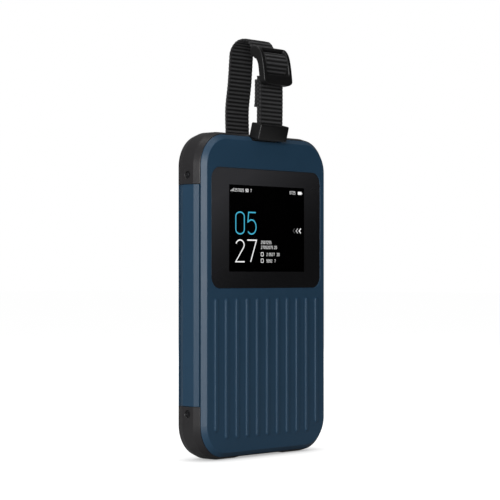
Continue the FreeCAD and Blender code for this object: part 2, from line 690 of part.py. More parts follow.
def draw_neck(sketch, end, far):
    """Everything outside the bumper's seat beyond the bumper's end."""
    outside = f"{SIDE} + {OVERRUN}"
    seat = f"{SIDE} - seat_inset"
    near = "case_height - seat_inset" if "case_height" in far else "seat_inset"
    curve = "corner_radius - seat_inset"
    draw_profile(sketch, [end, f"-({seat})", near, seat, end, outside, far, f"-({outside})"],
                 [None, curve, curve, None, None, None, None, None])


def draw_seal(sketch, gap):
    draw_outline(sketch, f"seal_inset + ({gap})")
    draw_outline(sketch, f"seal_inset + seal_wide - ({gap})")


def cut_side_openings(frame):
    """Openings of the right wall for the button, the port with its flap, and the card tray."""
    low, high = around(BUTTON_MIDDLE, "button_length", "button_gap")
    front, rear = around("0", "button_width", "button_gap")
    pocket(frame, "button_hole", "YZ_Plane", HOLE_START, SIDE, draw_rectangle, front, rear, low, high)
    low, high = around(BUTTON_MIDDLE, "button_length", "button_gap + gasket_wall")
    front, rear = around("0", "button_width", "button_gap + gasket_wall")
    pocket(frame, "gasket_seat", "YZ_Plane", HOLE_START, f"{CAVITY} + gasket_deep",
           draw_rectangle, front, rear, low, high)
    low, high = around(BUTTON_MIDDLE, "button_length", "button_gap + button_flange")
    front, rear = around("0", "button_width", "button_gap + button_flange")
    pocket(frame, "flange_room", "YZ_Plane", HOLE_START, CAVITY, draw_rectangle, front, rear, low, high)
    low, high = around("port_middle", "port_length", "port_gap")
    front, rear = around(PORT_MIDDLE_Y, "port_thick", "port_gap")
    pocket(frame, "port_hole", "YZ_Plane", HOLE_START, FLAP_SEAT, draw_rectangle, front, rear, low, high)
    front, rear = around("0", "flap_width", "flap_gap")
    pocket(frame, "flap_seat", "YZ_Plane", FLAP_SEAT, SIDE, draw_rectangle, front, rear,
           f"{FLAP_LOW} - flap_gap", f"{FLAP_HIGH} + flap_gap")
    low, high = around("tray_middle", "tray_width", "tray_gap")
    front, rear = around(TRAY_MIDDLE_Y, "tray_thick", "tray_gap")
    pocket(frame, "tray_slot", "YZ_Plane", HOLE_START, SIDE, draw_rectangle, front, rear, low, high)
    low, high = around("tray_middle", "tray_face_length", "tray_gap")
    front, rear = around(TRAY_MIDDLE_Y, "tray_face_width", "tray_gap")
    pocket(frame, "tray_face_seat", "YZ_Plane", TRAY_FACE_REAR, SIDE, draw_rectangle,
           front, rear, low, high)
    pocket(frame, "flap_pin_hole", "XZ_Plane", PIN_START, PIN_END,
           draw_circles, [(PIN_PLACE, PIN_RISE, "flap_pin_radius")])


def make_bumper(label, screw_rise, low, high):
    """A rubber cap that wraps two corners; low and high bound what is cut away."""
    cap = body(label)
    tapered(cap, "shape", [(f"-{BUMPER_EDGE}", "bumper_taper"), ("-band_flat_half", "0"),
                           ("band_flat_half", "0"), (BUMPER_EDGE, "bumper_taper")])
    pocket(cap, "seat", "XZ_Plane", f"-{BUMPER_EDGE}", BUMPER_EDGE, draw_outline, "seat_inset")
    outside = f"{SIDE} + {OVERRUN}"
    pocket(cap, "ends", "XZ_Plane", f"-{BUMPER_EDGE}", BUMPER_EDGE,
           draw_rectangle, f"-({outside})", outside, low, high)
    pocket(cap, "screw_holes", "YZ_Plane", f"-{SIDE}", SIDE, draw_circles,
           [("0", screw_rise, "cap_screw_radius + screw_gap")])
    sink = "(cap_screw_sink + cap_screw_head)"
    for side, ends in (("left", (f"-{SIDE}", f"-{SIDE} + {sink}")),
                       ("right", (f"{SIDE} - {sink}", SIDE))):
        pocket(cap, f"{side}_head_seat", "YZ_Plane", *ends, draw_circles,
               [("0", screw_rise, "cap_screw_head_radius + screw_gap")])
    return cap


def make_bumpers():
    upper = make_bumper("top_bumper", UPPER_SCREW, f"-{OVERRUN}", UPPER_END)
    left, right = around("0", TUNNEL_WIDTH)
    pocket(upper, "tunnel", "XZ_Plane", f"-{BUMPER_EDGE}", BUMPER_EDGE,
           draw_rectangle, left, right, TUNNEL_FLOOR, f"{TUNNEL_FLOOR} + {TUNNEL_HEIGHT}")
    left, right = around("0", NOTCH_WIDTH)
    pocket(upper, "keeper_notch", "XZ_Plane", f"-{BUMPER_EDGE}", BRIDGE_FRONT,
           draw_rectangle, left, right, TUNNEL_FLOOR, f"case_height + {OVERRUN}")
    keep(upper, "top_bumper")
    lower = make_bumper("bottom_bumper", "cap_screw_rise",
                        "lower_bumper_reach", f"case_height + {OVERRUN}")
    left, right = around("0", "foot_gap_width")
    pocket(lower, "foot_gap", "XZ_Plane", f"-{BUMPER_EDGE}", BUMPER_EDGE,
           draw_rectangle, left, right, f"-{OVERRUN}", "foot_gap_height")
    keep(lower, "bottom_bumper")


def make_seals():
    for side, edge in (("front", f"-{BAND_EDGE}"), ("rear", f"{BAND_EDGE} - seal_deep")):
        seal = body(f"{side}_seal")
        pad(seal, "ring", "XZ_Plane", edge, f"{edge} + seal_deep", draw_seal, "tongue_gap")
        keep(seal, f"{side}_seal")


def make_cap_screws():
    """Two screws in each side of each bumper."""
    pieces = []
    for row, middle in (("lower", "cap_screw_rise"), ("upper", UPPER_SCREW)):
        for side, sign in (("left", "-"), ("right", "")):
            top = f"{SIDE} - cap_screw_sink"
            under = f"{top} - cap_screw_head"
            tip = f"{under} - cap_screw_length"
            name = f"cap_screw_{row}_{side}"
            spans = [(tip, under), (under, top)]
            if sign:
                spans = [(f"-({b})", f"-({a})") for a, b in spans]
            shank = rod(f"{name}_shank", "x", "cap_screw_radius", *spans[0], "0", middle)
            head = rod(f"{name}_head", "x", "cap_screw_head_radius", *spans[1], "0", middle)
            pieces.append(fused(name, shank, head))
    keep(group("cap_screw_set", *pieces), "cap_screws")


def make_case_screws():
    pieces = []
    for index, (across, up) in enumerate(boss_places()):
        top = f"{REAR} - case_screw_sink"
        under = f"{top} - case_screw_head"
        shank = rod(f"case_screw{index}_shank", "y", "case_screw_radius",
                    f"{under} - case_screw_length", under, across, up)
        head = rod(f"case_screw{index}_head", "y", "case_screw_head_radius", under, top, across, up)
        pieces.append(fused(f"case_screw{index}", shank, head))
    keep(group("case_screw_set", *pieces), "case_screws")


# ---------------------------------------------------------------- display

def make_display():
    glass = body("cover_glass")
    left, right = around("0", "glass_width")
    low, high = around(GLASS_MIDDLE, "glass_height")
    pad(glass, "pane", "XZ_Plane", GLASS_FRONT, GLASS_REAR,
        draw_rectangle, left, right, low, high, "glass_radius")
    keep(glass, "cover_glass")

    tape = body("glass_adhesive")
    pad(tape, "sheet", "XZ_Plane", GLASS_REAR, ADHESIVE_REAR,
        draw_rectangle, left, right, low, high, "glass_radius")
    left, right = around("0", "glass_width", "-glass_ledge")
    low, high = around(GLASS_MIDDLE, "glass_height", "-glass_ledge")
    pocket(tape, "opening", "XZ_Plane", GLASS_REAR, ADHESIVE_REAR,
           draw_rectangle, left, right, low, high, "glass_radius - glass_ledge")
    keep(tape, "glass_adhesive")

    across, up = around("0", PANEL_WIDTH), around(GLASS_MIDDLE, PANEL_HEIGHT)
    cell_rear = f"{GLASS_REAR} + panel_thick"
    light_rear = f"{cell_rear} + backlight_thick"
    keep(block("display_cell", across, (GLASS_REAR, cell_rear), up), "display_panel")
    keep(block("backlight", across, (cell_rear, light_rear), up), "backlight_unit")

    bracket_rear = f"{INNER_FRONT} + bracket_thick"
    gap = "bracket_gap"
    outer = block("bracket_outer", around("0", PANEL_WIDTH, "bracket_rail"),
                  (INNER_FRONT, bracket_rear), around(GLASS_MIDDLE, PANEL_HEIGHT, "bracket_rail"))
    inner = block("bracket_inner", around("0", PANEL_WIDTH, gap),
                  (INNER_FRONT, bracket_rear), around(GLASS_MIDDLE, PANEL_HEIGHT, gap))
    keep(without("bracket", outer, inner), "display_bracket")

    foot = f"{GLASS_MIDDLE} - {PANEL_HEIGHT} / 2"
    keep(block("flex", around("0", "flex_width"), (bracket_rear, f"{bracket_rear} + flex_thick"),
               (f"{foot} - flex_length", foot)), "display_flex")
    keep(block("flex_plug", around("0", "flex_width"), (f"{bracket_rear} + flex_thick", "board_front"),
               (f"{foot} - flex_length", f"{foot} - flex_length + plug_height")), "display_connector")


# ---------------------------------------------------------------- electronics

def make_board():
    """The main board, notched where the power button's flange moves."""
    half = f"{CAVITY} - board_gap"
    board = body("main_board")
    pad(board, "plate", "XZ_Plane", "board_front", BOARD_REAR,
        draw_rectangle, f"-({half})", half, "board_low", BOARD_HIGH, "board_corner")
    low, high = around(BUTTON_MIDDLE, "button_length", "button_flange + 2 * button_gap")
    pocket(board, "button_notch", "XZ_Plane", "board_front", BOARD_REAR, draw_rectangle,
           f"{CAVITY} - button_flange_thick - button_travel - 2 * button_gap", SIDE, low, high)
    keep(board, "main_board")


def shielded(label, chip_label, middle, low, width, length, side):
    """A chip under its own drawn can."""
    up = (low, f"{low} + {length}")
    outer = block(f"{label}_outer", around(middle, width), (BOARD_REAR, CAN_REAR), up)
    inner = block(f"{label}_inner", around(middle, width, "-can_wall"),
                  (BOARD_REAR, f"{CAN_REAR} - can_wall"),
                  (f"{low} + can_wall", f"{low} + {length} - can_wall"))
    keep(without(label, outer, inner), label)
    centre = f"{low} + {length} / 2"
    keep(block(chip_label, around(middle, side), (BOARD_REAR, f"{BOARD_REAR} + chip_thick"),
               around(centre, side)), chip_label)
    return centre


def make_electronics():
    make_board()
    modem_up = shielded("modem_shield", "modem_chip", "-can_spread", "can_rise",
                        "can_width", "can_length", "chip_side")
    processor_up = shielded("processor_shield", "processor_chip", "memory_can_spread", "memory_can_rise",
                            "memory_can_width", "can_length", "memory_side")
    pads = [block("modem_pad", around("-can_spread", "chip_side"), (CAN_REAR, PAD_REAR),
                  around(modem_up, "chip_side")),
            block("processor_pad", around("memory_can_spread", "memory_side"), (CAN_REAR, PAD_REAR),
                  around(processor_up, "memory_side"))]
    keep(group("pad_pair", *pads), "thermal_pads")
    keep(block("spreader", around("0", "spreader_width"), (PAD_REAR, SPREADER_REAR),
               ("spreader_low", f"{BATTERY_HIGH} + spreader_over")), "heat_spreader")
    make_battery()
    make_antennas()


def make_battery():
    pack = body("battery_pack")
    foam_front = f"{INNER_REAR} - foam_thick"
    left, right = around("0", "battery_width")
    pouch = pad(pack, "pouch", "XZ_Plane", SPREADER_REAR, foam_front,
                draw_rectangle, left, right, "battery_low", BATTERY_HIGH)
    half = number("battery_width / 2")
    upright = [f"Edge{k}" for k, edge in enumerate(pouch.Shape.Edges, start=1)
               if all(abs(abs(v.Point.x) - half) < TOLERANCE for v in edge.Vertexes) and edge.Length > half]
    rounding = pack.newObject("PartDesign::Fillet", "long_edges")
    rounding.Base = (pouch, upright)
    tie(rounding, "Radius", "battery_edge_radius")
    doc.recompute()
    keep(pack, "battery_pack")
    keep(block("foam", around("0", "battery_width", "-foam_margin"), (foam_front, INNER_REAR),
               ("battery_low + foam_margin", f"{BATTERY_HIGH} - foam_margin")), "battery_foam")
    keep(block("plug", around("0", "plug_width"), (BOARD_REAR, f"{BOARD_REAR} + plug_thick"),
               (PLUG_LOW, f"{PLUG_LOW} + plug_height")), "battery_connector")
    lead = body("battery_lead")
    left, right = around("0", "lead_width")
    plug_rear = f"{BOARD_REAR} + plug_thick"
    out_front = f"{SPREADER_REAR} + battery_edge_radius"
    top = f"{PLUG_LOW} + lead_thick"
    pad(lead, "flat_lead", "YZ_Plane", left, right, draw_profile,
        [BATTERY_HIGH, f"{out_front} + lead_thick", top, plug_rear, PLUG_LOW, out_front],
        [None] * 6)
    keep(lead, "battery_lead")


def make_antennas():
    top = "case_height - cavity_inset - aerial_gap"
    foot = "cavity_inset + aerial_gap"
    across = around("0", "aerial_length")
    front = f"{BOARD_REAR} + board_thick + aerial_gap"
    deep = (front, f"{front} + aerial_width")
    keep(block("upper_aerial", across, deep, (f"{top} - aerial_thick", top)), "antenna_top")
    keep(block("lower_aerial", across, deep, (foot, f"{foot} + aerial_thick")), "antenna_bottom")
    outer = f"{CAVITY} - aerial_gap"
    inner = f"{outer} - side_aerial_thick"
    deep = ("side_aerial_front", "side_aerial_front + side_aerial_width")
    keep(block("left_aerial", (f"-({outer})", f"-({inner})"), deep,
               ("side_aerial_low", "side_aerial_low + side_aerial_length")), "antenna_left")
    contacts = []
    for name, x in (("left", "-contact_place"), ("right", "contact_place")):
        contacts.append(block(f"upper_contact_{name}", around(x, "contact_width"),
                              ("board_front", "board_front + contact_deep"),
                              (BOARD_HIGH, f"{top} - aerial_thick")))
        contacts.append(block(f"lower_contact_{name}", around(x, "contact_width"),
                              ("board_front", "board_front + contact_deep"),
                              (f"{foot} + aerial_thick", "board_low")))
    keep(group("contact_set", *contacts), "antenna_contacts")


# ---------------------------------------------------------------- controls and port

def make_button():
    cap = body("power_button")
    low, high = around(BUTTON_MIDDLE, "button_length")
    front, rear = around("0", "button_width")
    flange_face = f"{CAVITY} - button_gap / 2"
    flange_back = f"{flange_face} - button_flange_thick"
    shaft = pad(cap, "cap", "YZ_Plane", flange_face, f"{BAND_FLAT} + button_proud",
                draw_rectangle, front, rear, low, high)
    bevel(cap, "soft_edge", shaft, "button_gap", level_at("x", f"{BAND_FLAT} + button_proud"))
    low, high = around(BUTTON_MIDDLE, "button_length", "button_flange")
    front, rear = around("0", "button_width", "button_flange")
    pad(cap, "flange", "YZ_Plane", flange_back, flange_face, draw_rectangle, front, rear, low, high)
    keep(cap, "power_button")

    gasket = body("button_gasket")
    low, high = around(BUTTON_MIDDLE, "button_length", "button_gap + gasket_wall")
    front, rear = around("0", "button_width", "button_gap + gasket_wall")
    start, end = f"{CAVITY} + button_gap", f"{CAVITY} + gasket_deep"
    pad(gasket, "ring", "YZ_Plane", start, end, draw_rectangle, front, rear, low, high)
    low, high = around(BUTTON_MIDDLE, "button_length", "button_gap / 2")
    front, rear = around("0", "button_width", "button_gap / 2")
    pocket(gasket, "bore", "YZ_Plane", start, end, draw_rectangle, front, rear, low, high)
    keep(gasket, "button_gasket")

    switch_face = f"{flange_back} - button_travel - button_gap / 2"
    switch_back = f"{switch_face} - switch_thick"
    deep = (BOARD_REAR, f"{BOARD_REAR} + key_board_width")
    keep(block("switch", (switch_back, switch_face), around("0", "switch_side"),
               around(BUTTON_MIDDLE, "switch_side")), "power_switch")
    keep(block("key_board", (f"{switch_back} - key_board_thick", switch_back), deep,
               around(BUTTON_MIDDLE, "key_board_length")), "side_key_board")


def make_port():
    mouth = f"{BAND_FLAT} - port_set_back"
    back = f"{mouth} - port_deep"
    deep = (BOARD_REAR, f"{BOARD_REAR} + port_thick")
    up = around("port_middle", "port_length")
    outer = block("port_outer", (back, mouth), deep, up)
    inner = block("port_inner", (f"{back} + port_shell", mouth),
                  (f"{BOARD_REAR} + port_shell", f"{BOARD_REAR} + port_thick - port_shell"),
                  around("port_middle", "port_length", "-port_shell"))
    shell = without("port_shell", outer, inner)
    tongue = block("port_tongue", (back, f"{mouth} - tongue_set_back"),
                   around(PORT_MIDDLE_Y, "tongue_thick"), around("port_middle", "tongue_length"))
    keep(fused("port_whole", shell, tongue), "usb_receptacle")

    flap = body("port_flap")
    inner_face = f"{BAND_FLAT} - flap_thick"
    front, rear = around("0", "flap_width")
    plate = pad(flap, "plate", "YZ_Plane", inner_face, BAND_FLAT,
                draw_rectangle, front, rear, FLAP_LOW, FLAP_HIGH)
    rounding = flap.newObject("PartDesign::Fillet", "knuckle")
    at_foot = level_at("z", FLAP_LOW)
    long_enough = number("(flap_thick + flap_width) / 2")
    knuckle = edge_names(plate.Shape, lambda edge: at_foot(edge) and edge.Length > long_enough)
    rounding.Base = (plate, knuckle)
    tie(rounding, "Radius", "flap_knuckle_radius")
    doc.recompute()
    low, high = around("port_middle", "flap_plug_length")
    front, rear = around(PORT_MIDDLE_Y, "flap_plug_thick")
    pad(flap, "plug", "YZ_Plane", f"{inner_face} - flap_plug_deep", inner_face,
        draw_rectangle, front, rear, low, high)
    pocket(flap, "pin_hole", "XZ_Plane", "-flap_width", "flap_width", draw_circles,
           [(PIN_PLACE, PIN_RISE, "flap_pin_radius + flap_pin_gap")])
    keep(flap, "port_flap")
    keep(rod("flap_pin", "y", "flap_pin_radius", PIN_START, PIN_END,
             PIN_PLACE, PIN_RISE), "flap_hinge_pin")


def make_tray():
    start = f"{TRAY_FACE_REAR} - tray_length"
    up = around("tray_middle", "tray_width")
    deep = around(TRAY_MIDDLE_Y, "tray_thick")
    plate = block("tray_plate", (start, TRAY_FACE_REAR), deep, up)
    face = block("tray_face", (TRAY_FACE_REAR, BAND_FLAT), around(TRAY_MIDDLE_Y, "tray_face_width"),
                 around("tray_middle", "tray_face_length"))
    rear = f"{TRAY_MIDDLE_Y} + tray_thick / 2"
    card_start = f"{start} + card_margin"
    card_end = f"{card_start} + card_length"
    bed = block("card_bed", (f"{card_start} - card_gap", f"{card_end} + card_gap"),
                (f"{rear} - card_thick", rear), around("tray_middle", "card_width", "card_gap"))
    keep(without("tray", fused("tray_whole", plate, face), bed), "sim_tray")
    keep(block("card", (card_start, card_end), (f"{rear} - card_thick", rear),
               around("tray_middle", "card_width")), "sim_card")
    outer_rear = f"{rear} + tray_gap + socket_wall"
    end = f"{start} - tray_gap - socket_wall + socket_length"
    outer = block("socket_outer", (f"{start} - tray_gap - socket_wall", end), (BOARD_REAR, outer_rear),
                  around("tray_middle", "tray_width", "tray_gap + socket_wall"))
    inner = block("socket_inner", (f"{start} - tray_gap", end),
                  (f"{BOARD_REAR} + socket_wall", f"{rear} + tray_gap"),
                  around("tray_middle", "tray_width", "tray_gap"))
    keep(without("socket", outer, inner), "sim_socket")


# ---------------------------------------------------------------- strap

def leaned(name, source, degrees, middle_y, middle_z):
    """A piece made upright about the origin, then leaned about X and set in place."""
    holder = doc.addObject("Part::Compound", name)
    holder.Links = [source]
    holder.Placement = FreeCAD.Placement(
        FreeCAD.Vector(), FreeCAD.Rotation(FreeCAD.Vector(1, 0, 0), number(degrees)))
    tie(holder, "Placement.Rotation.Angle", degrees)
    tie(holder, "Placement.Base.y", middle_y)
    tie(holder, "Placement.Base.z", middle_z)
    return holder


def make_keeper():
    outer = block("keeper_outer", around("0", KEEPER_WIDTH), around("0", "keeper_deep"),
                  around("0", "keeper_height"))
    slot = block("keeper_slot_room", around("0", "web_width", "web_gap"), around("0", "keeper_slot"),
                 around("0", f"keeper_height + {OVERRUN}"))
    keeper = without("keeper_upright", outer, slot)
    keep(leaned("keeper", keeper, "keeper_lean", *KEEPER_MIDDLE), "strap_keeper")
    run = block("keeper_run_upright", around("0", "web_width"), around("0", "2 * web_thick"),
                around("0", "keeper_height", "-web_gap"))
    keep(leaned("keeper_run", run, "keeper_lean", *KEEPER_MIDDLE),
         "strap_keeper_run")


def make_strap():
    across = around("0", "web_width")
    mid = f"{TUNNEL_FLOOR} + {TUNNEL_HEIGHT} / 2"
    keep(block("tunnel_run", across, (f"{BRIDGE_FRONT} - tunnel_lead", REAR_BEND),
               around(mid, "web_thick")), "strap_tunnel_run")
    bend = bent("rear_bend_level", "rear_bend_radius", "web_thick", "web_width", "90")
    keep(leaned("rear_bend", bend, "-90", REAR_BEND, f"{mid} + rear_bend_radius"),
         "strap_rear_bend")
    low = "case_height + front_leg_low"
    leg = (low, f"{low} + front_leg_length")
    face = f"{FRONT} - front_leg_stand"
    behind = f"{face} + web_thick"
    keep(block("front_leg", across, (face, behind), leg), "strap_front_leg")
    keep(block("return_leg", across, (behind, f"{behind} + web_thick"), leg), "strap_return_leg")
    keep(block("tail", across, (f"{behind} + web_thick", f"{behind} + 2 * web_thick"),
               ("case_height + tail_low", "case_height + tail_low + tail_length")), "strap_tail")
    crown = bent("crown_level", CROWN_RADIUS, "web_thick", "web_width", "crown_turn")
    keep(leaned("crown", crown, "0", "0", CROWN_MIDDLE), "strap_crown")
    make_rear_leg(mid)


def make_rear_leg(tunnel_middle):
    """The rear leg, ruled between level sections at its ends, its bow and its waist."""
    leg = body("rear_leg")
    stations = [(f"{REAR_BEND} + rear_bend_radius", f"{tunnel_middle} + rear_bend_radius"),
                (f"{REAR} + rear_leg_bow", "case_height + rear_leg_bow_rise"),
                (f"{REAR} - rear_leg_waist", "case_height + rear_leg_waist_rise"),
                (CROWN_RADIUS, CROWN_MIDDLE)]
    left, right = around("0", "web_width")
    sections = []
    for index, (middle, rise) in enumerate(stations):
        sketch = sketch_on(leg, f"leg_section{index}", "XY_Plane", rise)
        front, rear = around(middle, "web_thick")
        draw_rectangle(sketch, left, right, front, rear)
        sections.append(sketch)
    loft = leg.newObject("PartDesign::AdditiveLoft", "leg")
    loft.Profile = sections[0]
    loft.Sections = sections[1:]
    loft.Ruled = True
    doc.recompute()
    keep(leg, "strap_rear_leg")


def make_slider():
    """A curved frame with a recessed middle bar, made upright with its rear lower edge at the origin."""
    straight = block("slider_straight_part", around("0", SLIDER_WIDTH), ("-slider_thick", "0"),
                     ("0", "slider_straight"))
    curve = bent("slider_curve_level", "(slider_radius + slider_thick / 2)", "slider_thick",
                 SLIDER_WIDTH, "slider_turn")
    curved = leaned("slider_curve", curve, "180 - slider_turn", "slider_radius", "slider_straight")
    window = block("slider_window", around("0", WINDOW_WIDTH), (f"-slider_thick - {OVERRUN}", OVERRUN),
                   ("window_low", "window_high"))
    frame = without("slider_frame", fused("slider_plate", straight, curved), window)
    bar_front = "-bar_thick - wrap_gap"
    bar = block("slider_bar", around("0", WINDOW_WIDTH), (bar_front, "-wrap_gap"),
                ("bar_low", "bar_low + bar_height"))
    upright = fused("slider_upright", frame, bar)
    rear_y = f"{FRONT} - slider_stand + slider_thick * cos(slider_lean)"
    rear_z = "case_height + slider_rise - slider_thick * sin(slider_lean)"
    keep(leaned("slider", upright, "-slider_lean", rear_y, rear_z), "strap_slider")
    wrap_rear = f"{bar_front} - wrap_gap"
    wrap = block("wrap_upright", around("0", "web_width"), (f"{wrap_rear} - web_thick", wrap_rear),
                 ("wrap_low", "wrap_low + wrap_height"))
    keep(leaned("wrap", wrap, "-slider_lean", rear_y, rear_z), "strap_wrap")


# ---------------------------------------------------------------- build, check and write

def check():
    doc.recompute()
    for thing in doc.Objects:
        faults = {"Invalid", "Error"} & set(thing.State)
        if faults:
            raise RuntimeError(f"{thing.Label}: {sorted(faults)}")
    for node in nodes:
        if node.Shape.isNull() or not node.Shape.isValid() or not node.Shape.Solids:
            raise RuntimeError(f"{node.Label}: no valid solid")


def write():
    os.makedirs("parts", exist_ok=True)
    for node in nodes:
        node.Shape.exportStep(f"parts/{node.Label}.step")
        print(f"{node.Label}: {len(node.Shape.Solids)} solids, {node.Shape.Volume:.1f} mm3")


make_front_shell()
make_rear_shell()
make_mid_frame()
make_bumpers()
make_seals()
make_cap_screws()
make_case_screws()
make_display()
make_electronics()
make_button()
make_port()
make_tray()
make_keeper()
make_strap()
make_slider()
check()
write()
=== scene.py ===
"""Looks of a rugged pocket hotspot with a webbing hand strap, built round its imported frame.

Metres. +X is to the right of the display, +Y points to the rear and +Z up. Places come from the boxes of
the frame's nodes, so each piece sits where the construction says.
"""

import json
import logging
import math
from dataclasses import dataclass, field
from enum import Enum
from typing import Optional, Sequence, Union

import bmesh
import bpy
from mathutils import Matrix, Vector


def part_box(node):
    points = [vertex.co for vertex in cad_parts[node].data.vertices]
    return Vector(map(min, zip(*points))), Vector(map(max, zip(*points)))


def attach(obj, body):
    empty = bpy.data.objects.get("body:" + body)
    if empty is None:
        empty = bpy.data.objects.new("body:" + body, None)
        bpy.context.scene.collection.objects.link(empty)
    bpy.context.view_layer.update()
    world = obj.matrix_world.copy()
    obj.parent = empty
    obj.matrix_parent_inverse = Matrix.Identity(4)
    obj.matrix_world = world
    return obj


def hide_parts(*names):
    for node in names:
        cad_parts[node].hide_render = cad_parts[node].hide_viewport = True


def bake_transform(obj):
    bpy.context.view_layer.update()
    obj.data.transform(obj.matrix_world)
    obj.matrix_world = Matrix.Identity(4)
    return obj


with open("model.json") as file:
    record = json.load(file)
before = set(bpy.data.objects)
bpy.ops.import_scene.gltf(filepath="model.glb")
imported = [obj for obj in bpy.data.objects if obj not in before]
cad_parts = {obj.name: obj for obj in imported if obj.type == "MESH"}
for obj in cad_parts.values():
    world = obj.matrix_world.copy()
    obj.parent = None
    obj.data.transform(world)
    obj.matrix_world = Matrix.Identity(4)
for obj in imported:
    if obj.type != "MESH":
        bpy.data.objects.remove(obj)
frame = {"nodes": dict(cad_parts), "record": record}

MM = 0.001
LOG = logging.getLogger("hotspot")

Colour = tuple[float, float, float]
Point = tuple[float, float]
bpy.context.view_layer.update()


# ---------------------------------------------------------------- node trees as expressions

class Socket:
    """An output of a node that takes part in Python arithmetic."""

    def __init__(self, book: "Nodes", link: bpy.types.NodeSocket) -> None:
        """Keep the tree and the output.

        Args:
            book: the tree that new Math nodes go into.
            link: the output that this value stands for.
        """
        self.book = book
        self.link = link

    def _math(self, operation: str, *values: "Value") -> "Socket":
        """Add a Math node.

        Args:
            operation: the node's operation.
            values: its inputs, in order.

        Returns:
            The node's result.
        """
        return self.book.node("ShaderNodeMath", {"operation": operation}, dict(enumerate(values)))

    def __add__(self, other: "Value") -> "Socket":
        """self + other."""
        return self._math("ADD", self, other)

    def __radd__(self, other: "Value") -> "Socket":
        """other + self."""
        return self._math("ADD", other, self)

    def __sub__(self, other: "Value") -> "Socket":
        """self - other."""
        return self._math("SUBTRACT", self, other)

    def __rsub__(self, other: "Value") -> "Socket":
        """other - self."""
        return self._math("SUBTRACT", other, self)

    def __mul__(self, other: "Value") -> "Socket":
        """self * other."""
        return self._math("MULTIPLY", self, other)

    def __rmul__(self, other: "Value") -> "Socket":
        """other * self."""
        return self._math("MULTIPLY", other, self)

    def __truediv__(self, other: "Value") -> "Socket":
        """self / other."""
        return self._math("DIVIDE", self, other)

    def __neg__(self) -> "Socket":
        """0 - self."""
        return self._math("SUBTRACT", 0.0, self)

    def __abs__(self) -> "Socket":
        """The size of self."""
        return self._math("ABSOLUTE", self)

    def sine(self) -> "Socket":
        """The sine of self in radians."""
        return self._math("SINE", self)

    def under(self, other: "Value") -> "Socket":
        """1 where self is less than other, else 0."""
        return self._math("LESS_THAN", self, other)

    def most(self, other: "Value") -> "Socket":
        """The larger of self and other."""
        return self._math("MAXIMUM", self, other)

    def least(self, other: "Value") -> "Socket":
        """The smaller of self and other."""
        return self._math("MINIMUM", self, other)

    def kept(self) -> "Socket":
        """self held between 0 and 1."""
        return self.most(0.0).least(1.0)


Value = Union[Socket, float]


class Nodes:
    """A node tree whose nodes are added by one method."""

    def __init__(self, tree: bpy.types.NodeTree) -> None:
        """Keep the tree."""
        self.tree = tree

    def node(self, kind: str, settings: Optional[dict] = None, sockets: Optional[dict] = None,
             output: Union[str, int] = 0) -> Socket:
        """Add any node.

        Args:
            kind: the node's type.
            settings: properties that are set first; "stops" are a ramp's places and colours.
            sockets: input values or links, by name or index.
            output: the output that is wanted.

        Returns:
            The wanted output.
        """
        made = self.tree.nodes.new(kind)
        for name, value in (settings or {}).items():
            if name == "stops":
                self._set_stops(made.color_ramp, value)
            else:
                setattr(made, name, value)
        for key, value in (sockets or {}).items():
            if isinstance(value, Socket):
                self.tree.links.new(value.link, made.inputs[key])
            else:
                made.inputs[key].default_value = value
        return Socket(self, made.outputs[output])

    @staticmethod
    def _set_stops(ramp: bpy.types.ColorRamp, stops: Sequence[tuple[float, float]]) -> None:
        """Set a grey ramp's stops.

        Args:
            ramp: the ramp.
            stops: places and grey levels, in order.
        """
        while len(ramp.elements) < len(stops):
            ramp.elements.new(1.0)
        for element, (place, level) in zip(ramp.elements, stops):
            element.position = place
            element.color = (level, level, level, 1.0)


